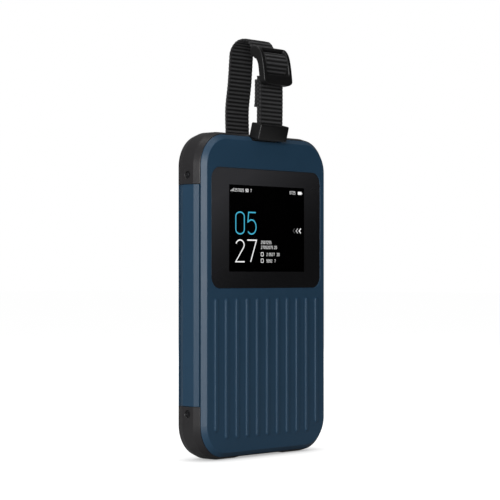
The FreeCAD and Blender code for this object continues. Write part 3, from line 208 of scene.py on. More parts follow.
class Paint(Nodes):
    """A material that is written as expressions."""

    def __init__(self, name: str) -> None:
        """Make an empty material."""
        self.material = bpy.data.materials.new(name)
        self.material.use_nodes = True
        super().__init__(self.material.node_tree)
        self.tree.nodes.clear()

    def place(self) -> Socket:
        """The point on the object, in metres."""
        return self.node("ShaderNodeTexCoord", output="Object")

    def axes(self, vector: Socket) -> tuple[Socket, Socket, Socket]:
        """The three parts of a vector."""
        node = self.node("ShaderNodeSeparateXYZ", sockets={0: vector}).link.node
        return tuple(Socket(self, node.outputs[k]) for k in range(3))

    def attribute(self, name: str, output: str = "Fac") -> Socket:
        """A named attribute of the mesh."""
        return self.node("ShaderNodeAttribute", {"attribute_name": name}, output=output)

    def noise(self, place: Socket, cell: float, detail: float = 2.0) -> Socket:
        """Noise from 0 to 1 whose patches are about a cell wide, in metres."""
        return self.node("ShaderNodeTexNoise", None,
                         {"Vector": place, "Scale": 1.0 / cell, "Detail": detail}, "Fac")

    def stretched(self, place: Socket, scale: Colour) -> Socket:
        """A place with its axes scaled, which draws a pattern out along one of them."""
        return self.node("ShaderNodeMapping", None, {"Vector": place, "Scale": scale})

    def scaled(self, colour: Union[Colour, Socket], amount: Value) -> Socket:
        """A colour made lighter or darker."""
        return self.node("ShaderNodeVectorMath", {"operation": "SCALE"}, {0: colour, "Scale": amount})

    def mixed(self, factor: Value, first: Colour, second: Colour) -> Socket:
        """A blend of two colours."""
        node = self.node("ShaderNodeMix", {"data_type": "RGBA"},
                         {0: factor, 6: (*first, 1.0), 7: (*second, 1.0)}, 2)
        return node

    def soft_edges(self, radius: float) -> tuple[Socket, Socket]:
        """Rounded edges.

        Args:
            radius: how far the rounding reaches, in metres.

        Returns:
            The rounded normal, and a mask that grows towards each edge.
        """
        rounded = self.node("ShaderNodeBevel", {"samples": 6}, {"Radius": radius})
        flat = self.node("ShaderNodeNewGeometry", output="Normal")
        along = self.node("ShaderNodeVectorMath", {"operation": "DOT_PRODUCT"},
                          {0: rounded, 1: flat}, "Value")
        return rounded, 1.0 - along

    def bump(self, height: Value, depth: float, normal: Optional[Socket] = None) -> Socket:
        """A normal that follows a height from 0 to 1, depth metres deep."""
        sockets = {"Height": height, "Distance": depth}
        if normal is not None:
            sockets["Normal"] = normal
        return self.node("ShaderNodeBump", None, sockets)

    def surface(self, sockets: dict) -> bpy.types.Material:
        """Finish with one Principled shader.

        Args:
            sockets: its inputs.

        Returns:
            The material.
        """
        return self.finish(self.node("ShaderNodeBsdfPrincipled", None, sockets))

    def finish(self, shader: Socket) -> bpy.types.Material:
        """Put a shader on the surface."""
        out = self.tree.nodes.new("ShaderNodeOutputMaterial")
        self.tree.links.new(shader.link, out.inputs["Surface"])
        return self.material


class Graph(Nodes):
    """A Geometry Nodes tree with named inputs."""

    def __init__(self, name: str) -> None:
        """Make an empty tree with a mesh in and out."""
        super().__init__(bpy.data.node_groups.new(name, "GeometryNodeTree"))
        face = self.tree.interface
        face.new_socket("Geometry", in_out="OUTPUT", socket_type="NodeSocketGeometry")
        self.identifiers: dict[str, str] = {}
        self.start = self.tree.nodes.new("NodeGroupInput")
        self.source = self.asked("Source", "NodeSocketGeometry")

    def asked(self, name: str, kind: str = "NodeSocketFloat") -> Socket:
        """Add a named input.

        Args:
            name: the input's name.
            kind: its socket type.

        Returns:
            The input's value.
        """
        item = self.tree.interface.new_socket(name, in_out="INPUT", socket_type=kind)
        self.identifiers[name] = item.identifier
        return Socket(self, self.start.outputs[name])

    def close(self, geometry: Socket) -> None:
        """Realize instances, set the material and end the tree."""
        material = self.asked("Finish", "NodeSocketMaterial")
        real = self.node("GeometryNodeRealizeInstances", None, {0: geometry})
        dressed = self.node("GeometryNodeSetMaterial", None, {"Geometry": real, "Material": material})
        end = self.tree.nodes.new("NodeGroupOutput")
        self.tree.links.new(dressed.link, end.inputs[0])

    def bake(self, name: str, source: bpy.types.Object, values: dict) -> bpy.types.Object:
        """Run the tree on a source and keep the result as a plain mesh.

        Args:
            name: the new piece's name.
            source: the object whose mesh goes in; it is removed.
            values: the named inputs.

        Returns:
            The new piece.
        """
        modifier = source.modifiers.new(name, "NODES")
        modifier.node_group = self.tree
        for key, value in values.items():
            modifier[self.identifiers[key]] = value
        source.update_tag()
        evaluated = source.evaluated_get(bpy.context.evaluated_depsgraph_get())
        mesh = bpy.data.meshes.new_from_object(evaluated)
        source.modifiers.remove(modifier)
        bpy.data.objects.remove(source)
        return new_object(name, mesh)


def new_object(name: str, mesh: bpy.types.Mesh) -> bpy.types.Object:
    """Link a mesh into the scene under a name."""
    mesh.name = name
    made = bpy.data.objects.new(name, mesh)
    bpy.context.scene.collection.objects.link(made)
    return made


def from_bmesh(name: str, work: bmesh.types.BMesh, material: bpy.types.Material,
               smooth: bool = True) -> bpy.types.Object:
    """Turn a bmesh into an object with outward faces."""
    bmesh.ops.recalc_face_normals(work, faces=work.faces[:])
    for face in work.faces:
        face.smooth = smooth
    mesh = bpy.data.meshes.new(name)
    work.to_mesh(mesh)
    work.free()
    mesh.materials.append(material)
    return new_object(name, mesh)


def apply_modifiers(piece: bpy.types.Object) -> bpy.types.Object:
    """Make a piece's modifiers part of its mesh."""
    evaluated = piece.evaluated_get(bpy.context.evaluated_depsgraph_get())
    mesh = bpy.data.meshes.new_from_object(evaluated)
    piece.modifiers.clear()
    piece.data = mesh
    return piece


# ---------------------------------------------------------------- finishes

@dataclass(frozen=True)
class Moulded:
    """Moulded plastic, rubber or foam: fine grain, a slow drift of shade, and paler edges, partly edge wear
    and partly a painted edge highlight.
    """

    name: str
    colour: Colour
    roughness: float = 0.5
    grain: float = 0.12 * MM
    grain_depth: float = 0.012 * MM
    drift: float = 0.16
    edge: float = 0.16 * MM
    # how much paler every edge is painted: partly edge wear, partly a painted edge highlight
    edge_wear_and_highlight: float = 0.8
    specular: float = 0.5
    coat: float = 0.0

    def paint(self) -> bpy.types.Material:
        """Make the material."""
        paint = Paint(self.name)
        place = paint.place()
        drift = paint.noise(place, 18 * MM, 3.0)
        grain = paint.noise(place, self.grain, 1.5)
        normal, edge = paint.soft_edges(self.edge)
        # edge lightens every edge alike: partly edge wear, partly a painted edge highlight
        shade = 1.0 + (drift - 0.5) * self.drift + (grain - 0.5) * 0.2 + edge * self.edge_wear_and_highlight
        return paint.surface({
            "Base Color": paint.scaled(self.colour, shade),
            "Roughness": (self.roughness + (grain - 0.5) * 0.12 + (drift - 0.5) * 0.1).kept(),
            "Specular IOR Level": self.specular,
            "Coat Weight": self.coat,
            "Normal": paint.bump(grain, self.grain_depth, normal)})


@dataclass(frozen=True)
class Metal:
    """Bare or plated metal with fine drawn lines."""

    name: str
    colour: Colour
    roughness: float = 0.32
    lines: Colour = (60.0, 1.0, 1.0)

    def paint(self) -> bpy.types.Material:
        """Make the material."""
        paint = Paint(self.name)
        place = paint.place()
        lines = paint.noise(paint.stretched(place, self.lines), 4 * MM, 4.0)
        stain = paint.noise(place, 6 * MM, 3.0)
        normal, edge = paint.soft_edges(0.08 * MM)
        # edge * 0.6 paints every edge paler: a painted edge highlight
        shade = 0.86 + lines * 0.16 + (stain - 0.5) * 0.14 + edge * 0.6
        return paint.surface({
            "Base Color": paint.scaled(self.colour, shade),
            "Metallic": 1.0,
            "Roughness": (self.roughness + (lines - 0.5) * 0.25).kept(),
            "Normal": paint.bump(lines, 0.006 * MM, normal)})


@dataclass(frozen=True)
class Woven:
    """Black nylon webbing: grooves between the ribs, painted darker as painted shade, warp threads along it
    and a plain bound edge.
    """

    name: str
    colour: Colour
    rib_pitch: float
    half_width: float
    binding: float

    def paint(self) -> bpy.types.Material:
        """Make the material."""
        paint = Paint(self.name)
        place = paint.place()
        across, _, _ = paint.axes(place)
        run = paint.attribute("run")
        rib = abs((run * (math.pi / self.rib_pitch)).sine())
        row = (run * (math.pi / self.rib_pitch) + math.pi / 2).sine()
        thread = (across * (2 * math.pi / (0.42 * MM)) + row * 0.9).sine() * 0.5 + 0.5
        inner = abs(across).under(self.half_width - self.binding)
        fibre = paint.noise(paint.stretched(place, (1.0, 5.0, 5.0)), 0.35 * MM, 3.0)
        drift = paint.noise(place, 7 * MM, 2.0)
        # rib tops painted lighter and grooves darker, most strongly inside the binding: painted shade in
        # the grooves, over the modelled grooves
        body = inner * (0.01 + rib * rib * rib * 1.6) + (1.0 - inner) * (0.25 + rib * rib * 0.6)
        shade = body * (0.62 + thread * 0.5) * (0.7 + fibre * 0.6) * (0.85 + drift * 0.3)
        height = thread * 0.6 + fibre * 0.4
        return paint.surface({
            "Base Color": paint.scaled(self.colour, shade),
            "Roughness": (0.62 + fibre * 0.2 - rib * 0.06).kept(),
            "Specular IOR Level": 0.22,
            "Sheen Weight": 0.05,
            "Sheen Roughness": 0.45,
            "Normal": paint.bump(height, 0.05 * MM)})


@dataclass(frozen=True)
class WindowGlass:
    """Cover glass with a black printed border round a clear window."""

    name: str
    half_width: float
    half_height: float
    middle: float
    border: Colour = (0.0105, 0.0105, 0.0115)

    def paint(self) -> bpy.types.Material:
        """Make the material."""
        paint = Paint(self.name)
        place = paint.place()
        across, _, up = paint.axes(place)
        beyond = (abs(across) - self.half_width).most(abs(up - self.middle) - self.half_height)
        printed = (beyond / (0.05 * MM) + 0.5).kept()
        smudge = paint.noise(place, 11 * MM, 3.0)
        # glow paints the black border lighter towards the top and the left: a painted reflection; edge adds
        # a painted highlight along the edges
        glow = ((up - self.middle) / (60 * MM) - across / (110 * MM) + 0.5).kept()
        normal, edge = paint.soft_edges(0.3 * MM)
        return paint.surface({
            "Base Color": paint.scaled(self.border, 0.7 + glow * glow * 3.2 + edge),
            "Roughness": (0.2 + (smudge - 0.5) * 0.1).kept(),
            "Specular IOR Level": 0.4,
            "Alpha": printed.most(0.02),
            "Normal": normal})


@dataclass(frozen=True)
class Lit:
    """The lit marks of the display, each with its own ink."""

    name: str

    def paint(self) -> bpy.types.Material:
        """Make the material."""
        paint = Paint(self.name)
        ink = paint.attribute("ink", "Color")
        dots = paint.noise(paint.place(), 0.09 * MM, 0.0)
        return paint.surface({
            "Base Color": (0.0, 0.0, 0.0, 1.0),
            "Roughness": 0.6,
            "Specular IOR Level": 0.0,
            "Emission Color": paint.scaled(ink, 0.94 + dots * 0.12),
            "Emission Strength": 1.0})


@dataclass(frozen=True)
class DarkPanel:
    """An unlit display cell: black, with its fine grid of cells."""

    name: str
    pitch: float = 0.15 * MM

    def paint(self) -> bpy.types.Material:
        """Make the material."""
        paint = Paint(self.name)
        across, _, up = paint.axes(paint.place())
        lines = [abs((axis * (math.pi / self.pitch)).sine()) for axis in (across, up)]
        cell = lines[0] * lines[1]
        return paint.surface({
            "Base Color": paint.scaled((0.0006, 0.0006, 0.0007), 0.4 + cell * 0.6),
            "Roughness": 0.6 + cell * 0.1,
            "Specular IOR Level": 0.0})


@dataclass(frozen=True)
class Laminate:
    """Circuit board or flex: solder mask over copper tracks, with bare pads."""

    name: str
    mask: Colour
    track: Colour
    pad: Colour
    pitch: float = 1.6 * MM

    def paint(self) -> bpy.types.Material:
        """Make the material."""
        paint = Paint(self.name)
        place = paint.place()
        brick = paint.node("ShaderNodeTexBrick", {"offset": 0.5}, {
            "Vector": place, "Scale": 1.0 / self.pitch,
            "Mortar Size": 0.06, "Color1": (0, 0, 0, 1), "Color2": (0, 0, 0, 1),
            "Mortar": (1, 1, 1, 1)}, "Fac")
        cells = paint.node("ShaderNodeTexVoronoi", None,
                           {"Vector": place, "Scale": 1.0 / (2.2 * MM)}, "Distance")
        pads = cells.under(0.16)
        tracks = paint.mixed(brick, self.mask, self.track)
        shade = 0.85 + paint.noise(place, 5 * MM) * 0.3
        colour = paint.node("ShaderNodeMix", {"data_type": "RGBA"},
                            {0: pads, 6: paint.scaled(tracks, shade), 7: (*self.pad, 1.0)}, 2)
        return paint.surface({
            "Base Color": colour,
            "Metallic": pads,
            "Roughness": 0.42 - pads * 0.1,
            "Normal": paint.bump(pads + brick * 0.5, 0.03 * MM)})


@dataclass(frozen=True)
class Wrapped:
    """Printed battery wrap or a plain card: satin film over slight unevenness, painted paler along its
    edges as a painted edge highlight.
    """

    name: str
    colour: Colour
    roughness: float = 0.35

    def paint(self) -> bpy.types.Material:
        """Make the material."""
        paint = Paint(self.name)
        place = paint.place()
        wave = paint.noise(place, 9 * MM, 2.0)
        speck = paint.noise(place, 0.3 * MM, 1.0)
        normal, edge = paint.soft_edges(0.2 * MM)
        return paint.surface({
            # edge * 0.4 paints every edge paler: a painted edge highlight
            "Base Color": paint.scaled(self.colour, 0.86 + wave * 0.2 + speck * 0.08 + edge * 0.4),
            "Roughness": (self.roughness + (wave - 0.5) * 0.2).kept(),
            "Coat Weight": 0.2,
            "Normal": paint.bump(wave, 0.08 * MM, normal)})


NAVY = (0.0150, 0.0480, 0.0900)
WEB_RIB = 1.7 * MM
WEB_BINDING = 1.0 * MM
LIT_WIDTH = 48.96 * MM
LIT_HEIGHT = 36.72 * MM


def finishes() -> dict[str, bpy.types.Material]:
    """One material for each of the record's slots."""
    low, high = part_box("strap_rear_leg")
    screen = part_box("display_panel")
    glass_middle = (screen[0].z + screen[1].z) / 2
    made = {
        "navy_shell": Moulded("navy_shell", NAVY, roughness=0.45, edge=0.4 * MM, edge_wear_and_highlight=1.2),
        "navy_frame": Moulded("navy_frame", NAVY, roughness=0.38),
        "bumper_rubber": Moulded("bumper_rubber", (0.0165, 0.0155, 0.0168), roughness=0.35, specular=0.75,
                                 grain=0.2 * MM, grain_depth=0.02 * MM, drift=0.3, edge=0.3 * MM),
        "seal_silicone": Moulded("seal_silicone", (0.02, 0.04, 0.07), roughness=0.6),
        "dark_screw": Metal("dark_screw", (0.075, 0.075, 0.08), roughness=0.42),
        "cover_glass": WindowGlass("cover_glass", LIT_WIDTH / 2, LIT_HEIGHT / 2, glass_middle),
        "adhesive": Moulded("adhesive", (0.02, 0.02, 0.02), roughness=0.7),
        "display": DarkPanel("display"),
        "backlight": Wrapped("backlight", (0.62, 0.62, 0.64)),
        "stainless": Metal("stainless", (0.58, 0.58, 0.57)),
        "flex": Laminate("flex", (0.36, 0.15, 0.03), (0.5, 0.25, 0.06), (0.7, 0.5, 0.2), 0.9 * MM),
        "connector": Moulded("connector", (0.03, 0.03, 0.03), roughness=0.5),
        "circuit_board": Laminate("circuit_board", (0.008, 0.06, 0.032), (0.02, 0.12, 0.06),
                                  (0.75, 0.6, 0.3)),
        "shield_steel": Metal("shield_steel", (0.62, 0.62, 0.62), lines=(1.0, 1.0, 30.0)),
        "chip": Moulded("chip", (0.02, 0.02, 0.021), roughness=0.55),
        "thermal_pad": Moulded("thermal_pad", (0.22, 0.26, 0.34), roughness=0.8),
        "spreader_aluminium": Metal("spreader_aluminium", (0.7, 0.7, 0.71), lines=(1.0, 1.0, 40.0)),
        "battery_wrap": Wrapped("battery_wrap", (0.03, 0.03, 0.034)),
        "foam": Moulded("foam", (0.03, 0.03, 0.03), roughness=0.95, grain=0.5 * MM,
                        grain_depth=0.15 * MM),
        "antenna_carrier": Moulded("antenna_carrier", (0.06, 0.06, 0.06)),
        "contact_brass": Metal("contact_brass", (0.72, 0.52, 0.22)),
        "button_plastic": Moulded("button_plastic", (0.022, 0.022, 0.024), roughness=0.4),
        "flap_rubber": Moulded("flap_rubber", (0.024, 0.024, 0.026), roughness=0.6,
                               grain_depth=0.02 * MM),
        "pin_steel": Metal("pin_steel", (0.5, 0.5, 0.5)),
        "tray_plastic": Moulded("tray_plastic", NAVY, roughness=0.44),
        "card_plastic": Wrapped("card_plastic", (0.7, 0.7, 0.7)),
        "keeper_plastic": Moulded("keeper_plastic", (0.006, 0.006, 0.0062), roughness=0.34,
                                  edge=0.5 * MM, edge_wear_and_highlight=1.4),
        "slider_plastic": Moulded("slider_plastic", (0.006, 0.006, 0.0062), roughness=0.38,
                                  edge=0.4 * MM, edge_wear_and_highlight=0.8),
        "webbing": Woven("webbing", (0.04, 0.04, 0.0415), WEB_RIB, (high.x - low.x) / 2, WEB_BINDING),
    }
    return {slot: finish.paint() for slot, finish in made.items()}


# ---------------------------------------------------------------- display

class Ink(Enum):
    """The display's colours."""

    WHITE = (0.95, 0.95, 0.95)
    CYAN = (0.062, 0.45, 0.645)
    FAINT = (0.09, 0.09, 0.09)
    SOFT = (0.55, 0.55, 0.55)


def oval(middle: Point, half_width: float, half_height: float, start: float, end: float,
         steps: int = 14) -> list[Point]:
    """Points along an arc of an oval.

    Args:
        middle: the oval's centre.
        half_width: half its width.
        half_height: half its height.
        start: first angle in degrees, from +x.
        end: last angle.
        steps: how many spans.

    Returns:
        The points.
    """
    points = []
    for k in range(steps + 1):
        angle = math.radians(start + (end - start) * k / steps)
        points.append((middle[0] + half_width * math.cos(angle), middle[1] + half_height * math.sin(angle)))
    return points


class Numeral(Enum):
    """Thin numerals in a cell one wide and one high, as strokes."""

    NOUGHT = tuple(oval((0.5, 0.8), 0.47, 0.2, 0, 180) + oval((0.5, 0.2), 0.47, 0.2, 180, 360))
    TWO = tuple(oval((0.5, 0.77), 0.45, 0.23, 165, -28) + [(0.02, 0.0), (1.0, 0.0)])
    FIVE = tuple([(0.92, 1.0), (0.14, 1.0), (0.06, 0.56)] + oval((0.46, 0.33), 0.5, 0.33, 132, -140))
    SEVEN = ((0.0, 1.0), (1.0, 1.0), (0.36, 0.0))


@dataclass
class Screen:
    """The lit marks of a 2.4-inch display: plain numerals, bars and icons with no words."""

    width: float = LIT_WIDTH
    height: float = LIT_HEIGHT
    stroke: float = 0.54 * MM
    fine: float = 0.24 * MM
    depth: float = 0.03 * MM
    beside: float = 0.8 * MM
    work: bmesh.types.BMesh = field(default_factory=bmesh.new)
    inks: list[Colour] = field(default_factory=list)

    def at(self, across: float, down: float) -> Point:
        """A place on the display from its shares of the width and height, from the top left."""
        return (across - 0.5) * self.width + self.beside, self.middle + (0.5 - down) * self.height

    def sheet(self, outline: Sequence[Point], ink: Ink) -> None:
        """Add a flat mark.

        Args:
            outline: its corners in the display's plane, in metres.
            ink: its colour.
        """
        front = [self.work.verts.new((x, self.front - self.depth, z)) for x, z in outline]
        rear = [self.work.verts.new((x, self.front, z)) for x, z in outline]
        count = len(outline)
        faces = [front, rear[::-1]]
        for k in range(count):
            after = (k + 1) % count
            faces.append([front[k], rear[k], rear[after], front[after]])
        for corners in faces:
            self.work.faces.new(corners)
            self.inks.append(ink.value)

    def line(self, points: Sequence[Point], width: float, ink: Ink, closed: bool = False) -> None:
        """Add a stroke of even width, mitred at its corners.

        Args:
            points: its middle line.
            width: its width.
            ink: its colour.
            closed: whether its ends join.
        """
        count = len(points)
        spans = [Vector(points[(k + 1) % count]) - Vector(points[k]) for k in range(count)]
        sides = []
        for k in range(count):
            before, after = spans[k - 1], spans[k]
            if not closed:
                before = after if k == 0 else before
                after = before if k == count - 1 else after
            first = Vector((-before.y, before.x)).normalized()
            second = Vector((-after.y, after.x)).normalized()
            mitre = (first + second).normalized()
            reach = width / 2 / max(mitre.dot(first), 0.5)
            sides.append((Vector(points[k]) + mitre * reach, Vector(points[k]) - mitre * reach))
        for k in range(count if closed else count - 1):
            (a, b), (c, d) = sides[k], sides[(k + 1) % count]
            self.sheet([tuple(a), tuple(b), tuple(d), tuple(c)], ink)

    def bar(self, across: float, down: float, width: float, height: float, ink: Ink = Ink.WHITE) -> None:
        """Add a block; its sizes and place are shares of the display's own."""
        left, top = self.at(across, down)
        right, foot = left + width * self.width, top - height * self.height
        self.sheet([(left, top), (right, top), (right, foot), (left, foot)], ink)

    def numeral(self, kind: Numeral, left: float, right: float, top: float, foot: float, ink: Ink,
                width: float) -> None:
        """Draw a numeral in a cell given by shares of the display."""
        points = [self.at(left + (right - left) * x, foot + (top - foot) * y) for x, y in kind.value]
        closed = kind is Numeral.NOUGHT
        if closed:
            points = [p for k, p in enumerate(points)
                      if (Vector(p) - Vector(points[k - 1])).length > 0.01 * MM]
        self.line(points, width, ink, closed)

    def icon(self, across: float, down: float) -> None:
        """A small rounded square outline."""
        x, z = self.at(across, down)
        half = 0.75 * MM
        middle = (x + half, z)
        points = []
        for turn in range(4):
            angle = math.radians(45 + 90 * turn)
            centre = (middle[0] + half * 0.7 * math.copysign(1, math.cos(angle)),
                      middle[1] + half * 0.7 * math.copysign(1, math.sin(angle)))
            points += oval(centre, half * 0.3, half * 0.3, 90 * turn, 90 * turn + 90, 3)
        self.line(points, self.fine, Ink.WHITE, True)

    def small_type(self, across: float, down: float, marks: str, height: float = 0.033,
                   ink: Ink = Ink.SOFT) -> None:
        """A line of small plain numerals.

        Args:
            across: its left end, as a share of the display's width.
            down: its top, as a share of the display's height.
            marks: its numerals; a space leaves a gap.
            height: its height.
            ink: its colour.
        """
        numerals = {"0": Numeral.NOUGHT, "2": Numeral.TWO, "5": Numeral.FIVE, "7": Numeral.SEVEN}
        for mark in marks:
            if mark in numerals:
                self.numeral(numerals[mark], across, across + 0.0135, down, down + height, ink, self.fine)
            across += 0.0205 if mark != " " else 0.012

    def status_row(self) -> None:
        """Signal bars and small numerals at the left, a charge level at the right."""
        for k in range(4):
            height = 0.01 + 0.009 * k
            self.bar(0.018 + 0.0125 * k, 0.075 - height, 0.0085, height, Ink.SOFT)
        self.small_type(0.073, 0.043, "257025")
        self.small_type(0.214, 0.043, "50", ink=Ink.WHITE)
        self.small_type(0.277, 0.043, "7")
        self.small_type(0.805, 0.043, "0725")
        self.bar(0.917, 0.043, 0.05, 0.036)
        self.bar(0.97, 0.053, 0.006, 0.016)

    def chevrons(self) -> None:
        """Three arrowheads that fade to the left."""
        for tip, ink, width in ((0.934, Ink.WHITE, 0.46), (0.892, Ink.SOFT, 0.38), (0.850, Ink.FAINT, 0.3)):
            points = [self.at(tip + 0.024, 0.484), self.at(tip, 0.512), self.at(tip + 0.024, 0.54)]
            self.line(points, width * MM, ink)

    def build(self, material: bpy.types.Material) -> bpy.types.Object:
        """Draw every mark as one thin piece on the display's front.

        Args:
            material: the lit finish.

        Returns:
            The piece.
        """
        low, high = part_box("display_panel")
        self.middle = (low.z + high.z) / 2
        self.front = low.y - 0.01 * MM
        self.status_row()
        cells = ((0.083, 0.2), (0.236, 0.356))
        for (left, right), kind in zip(cells, (Numeral.NOUGHT, Numeral.FIVE)):
            self.numeral(kind, left, right, 0.312, 0.564, Ink.CYAN, self.stroke)
        for (left, right), kind in zip(cells, (Numeral.TWO, Numeral.SEVEN)):
            self.numeral(kind, left, right, 0.634, 0.886, Ink.WHITE, self.stroke)
        self.small_type(0.417, 0.641, "2507255")
        self.small_type(0.417, 0.699, "27052075 20")
        self.icon(0.417, 0.797)
        self.small_type(0.490, 0.781, "2 0527  20")
        self.icon(0.417, 0.872)
        self.small_type(0.490, 0.858, "5052  7")
        self.chevrons()
        mesh = bpy.data.meshes.new("screen_marks")
        self.work.to_mesh(mesh)
        self.work.free()
        ink = mesh.attributes.new("ink", "FLOAT_COLOR", "CORNER")
        for polygon, colour in zip(mesh.polygons, self.inks):
            for corner in polygon.loop_indices:
                ink.data[corner].color = (*colour, 1.0)
        mesh.materials.append(material)
        piece = new_object("screen_marks", mesh)
        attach(piece, "case")
        return piece


# ---------------------------------------------------------------- webbing strap

def arc(middle: Point, radius: float, start: float, end: float, steps: int = 16) -> list[Point]:
    """Points (y, z) along a round arc, with angles in degrees from +Y towards +Z."""
    return oval(middle, radius, radius, start, end, steps)


def flowing(points: Sequence[Point], steps: int = 10) -> list[Point]:
    """A smooth line through points, Catmull-Rom.

    Args:
        points: what the line passes through.
        steps: spans between each two of them.

    Returns:
        The line's points.
    """
    ends = [Vector(points[0]) * 2 - Vector(points[1]), *map(Vector, points),
            Vector(points[-1]) * 2 - Vector(points[-2])]
    line = []
    for k in range(1, len(ends) - 2):
        a, b, c, d = ends[k - 1:k + 3]
        for step in range(steps):
            t = step / steps
            line.append(tuple(0.5 * (2 * b + (c - a) * t + (2 * a - 5 * b + 4 * c - d) * t * t
                                     + (3 * b - a - 3 * c + d) * t ** 3)))
    line.append(tuple(points[-1]))
    return line


def length_of(points: Sequence[Point]) -> float:
    """The length of a line of points."""
    return sum((Vector(b) - Vector(a)).length for a, b in zip(points, points[1:]))


@dataclass
class Weaver:
    """Lays ribbed webbing along lines in the plane of symmetry."""

    width: float
    thick: float
    material: bpy.types.Material
    pitch: float = WEB_RIB
    rib: float = 0.34 * MM
    binding: float = WEB_BINDING
    corner: float = 0.42 * MM
    graph: Graph = field(init=False)

    def __post_init__(self) -> None:
        """Build the tree once."""
        self.graph = self.make_graph()

    def make_graph(self) -> Graph:
        """The tree: a rounded strip along the source's line, grooved between its ribs."""
        graph = Graph("ribbed_webbing")
        width, thick = graph.asked("Width"), graph.asked("Thickness")
        pitch, rib = graph.asked("Rib Pitch"), graph.asked("Rib Depth")
        binding, corner = graph.asked("Binding"), graph.asked("Corner Radius")
        phase = graph.asked("Phase")
        line = graph.node("GeometryNodeMeshToCurve", None, {0: graph.source})
        line = graph.node("GeometryNodeResampleCurve", {"mode": "LENGTH"},
                          {"Curve": line, "Length": pitch / 8.0})
        along = graph.node("GeometryNodeSplineParameter", output="Length") + phase
        line = graph.node("GeometryNodeStoreNamedAttribute", {"data_type": "FLOAT", "domain": "POINT"},
                          {"Geometry": line, "Name": "run", "Value": along})
        frame_line = graph.node("GeometryNodeCurvePrimitiveQuadrilateral", {"mode": "RECTANGLE"},
                                {"Width": width, "Height": thick})
        frame_line = graph.node("GeometryNodeFilletCurve", {"mode": "POLY"},
                                {"Curve": frame_line, "Radius": corner, "Count": 4})
        frame_line = graph.node("GeometryNodeResampleCurve", {"mode": "LENGTH"},
                                {"Curve": frame_line, "Length": 0.36 * MM})
        strip = graph.node("GeometryNodeCurveToMesh", None,
                           {"Curve": line, "Profile Curve": frame_line, "Fill Caps": True})
        place = graph.node("GeometryNodeInputPosition")
        parts = graph.node("ShaderNodeSeparateXYZ", None, {0: place})
        run = graph.node("GeometryNodeInputNamedAttribute", {"data_type": "FLOAT"}, {"Name": "run"})
        groove = 1.0 - abs((run * math.pi / pitch).sine())
        inner = abs(parts).under(width / 2.0 - binding)
        inward = -(groove * rib * (0.35 + inner * 0.65) + (1.0 - inner) * rib * 0.25)
        normal = graph.node("GeometryNodeInputNormal")
        shift = graph.node("ShaderNodeVectorMath", {"operation": "SCALE"}, {0: normal, "Scale": inward})
        strip = graph.node("GeometryNodeSetPosition", None, {"Geometry": strip, "Offset": shift})
        strip = graph.node("GeometryNodeSetShadeSmooth", None, {"Geometry": strip})
        graph.close(strip)
        return graph

    def lay(self, name: str, points: Sequence[Point], phase: float = 0.0) -> bpy.types.Object:
        """Lay a strip.

        Args:
            name: the piece's name.
            points: its middle line as (y, z).
            phase: how far along the webbing it starts, so that ribs run on from its neighbour.

        Returns:
            The piece.
        """
        mesh = bpy.data.meshes.new(name + "_line")
        edges = [(k, k + 1) for k in range(len(points) - 1)]
        mesh.from_pydata([(0.0, y, z) for y, z in points], edges, [])
        source = new_object(name + "_line", mesh)
        return self.graph.bake(name, source, {
            "Width": self.width, "Thickness": self.thick, "Rib Pitch": self.pitch,
            "Rib Depth": self.rib, "Binding": self.binding, "Corner Radius": self.corner,
            "Phase": phase, "Finish": self.material})


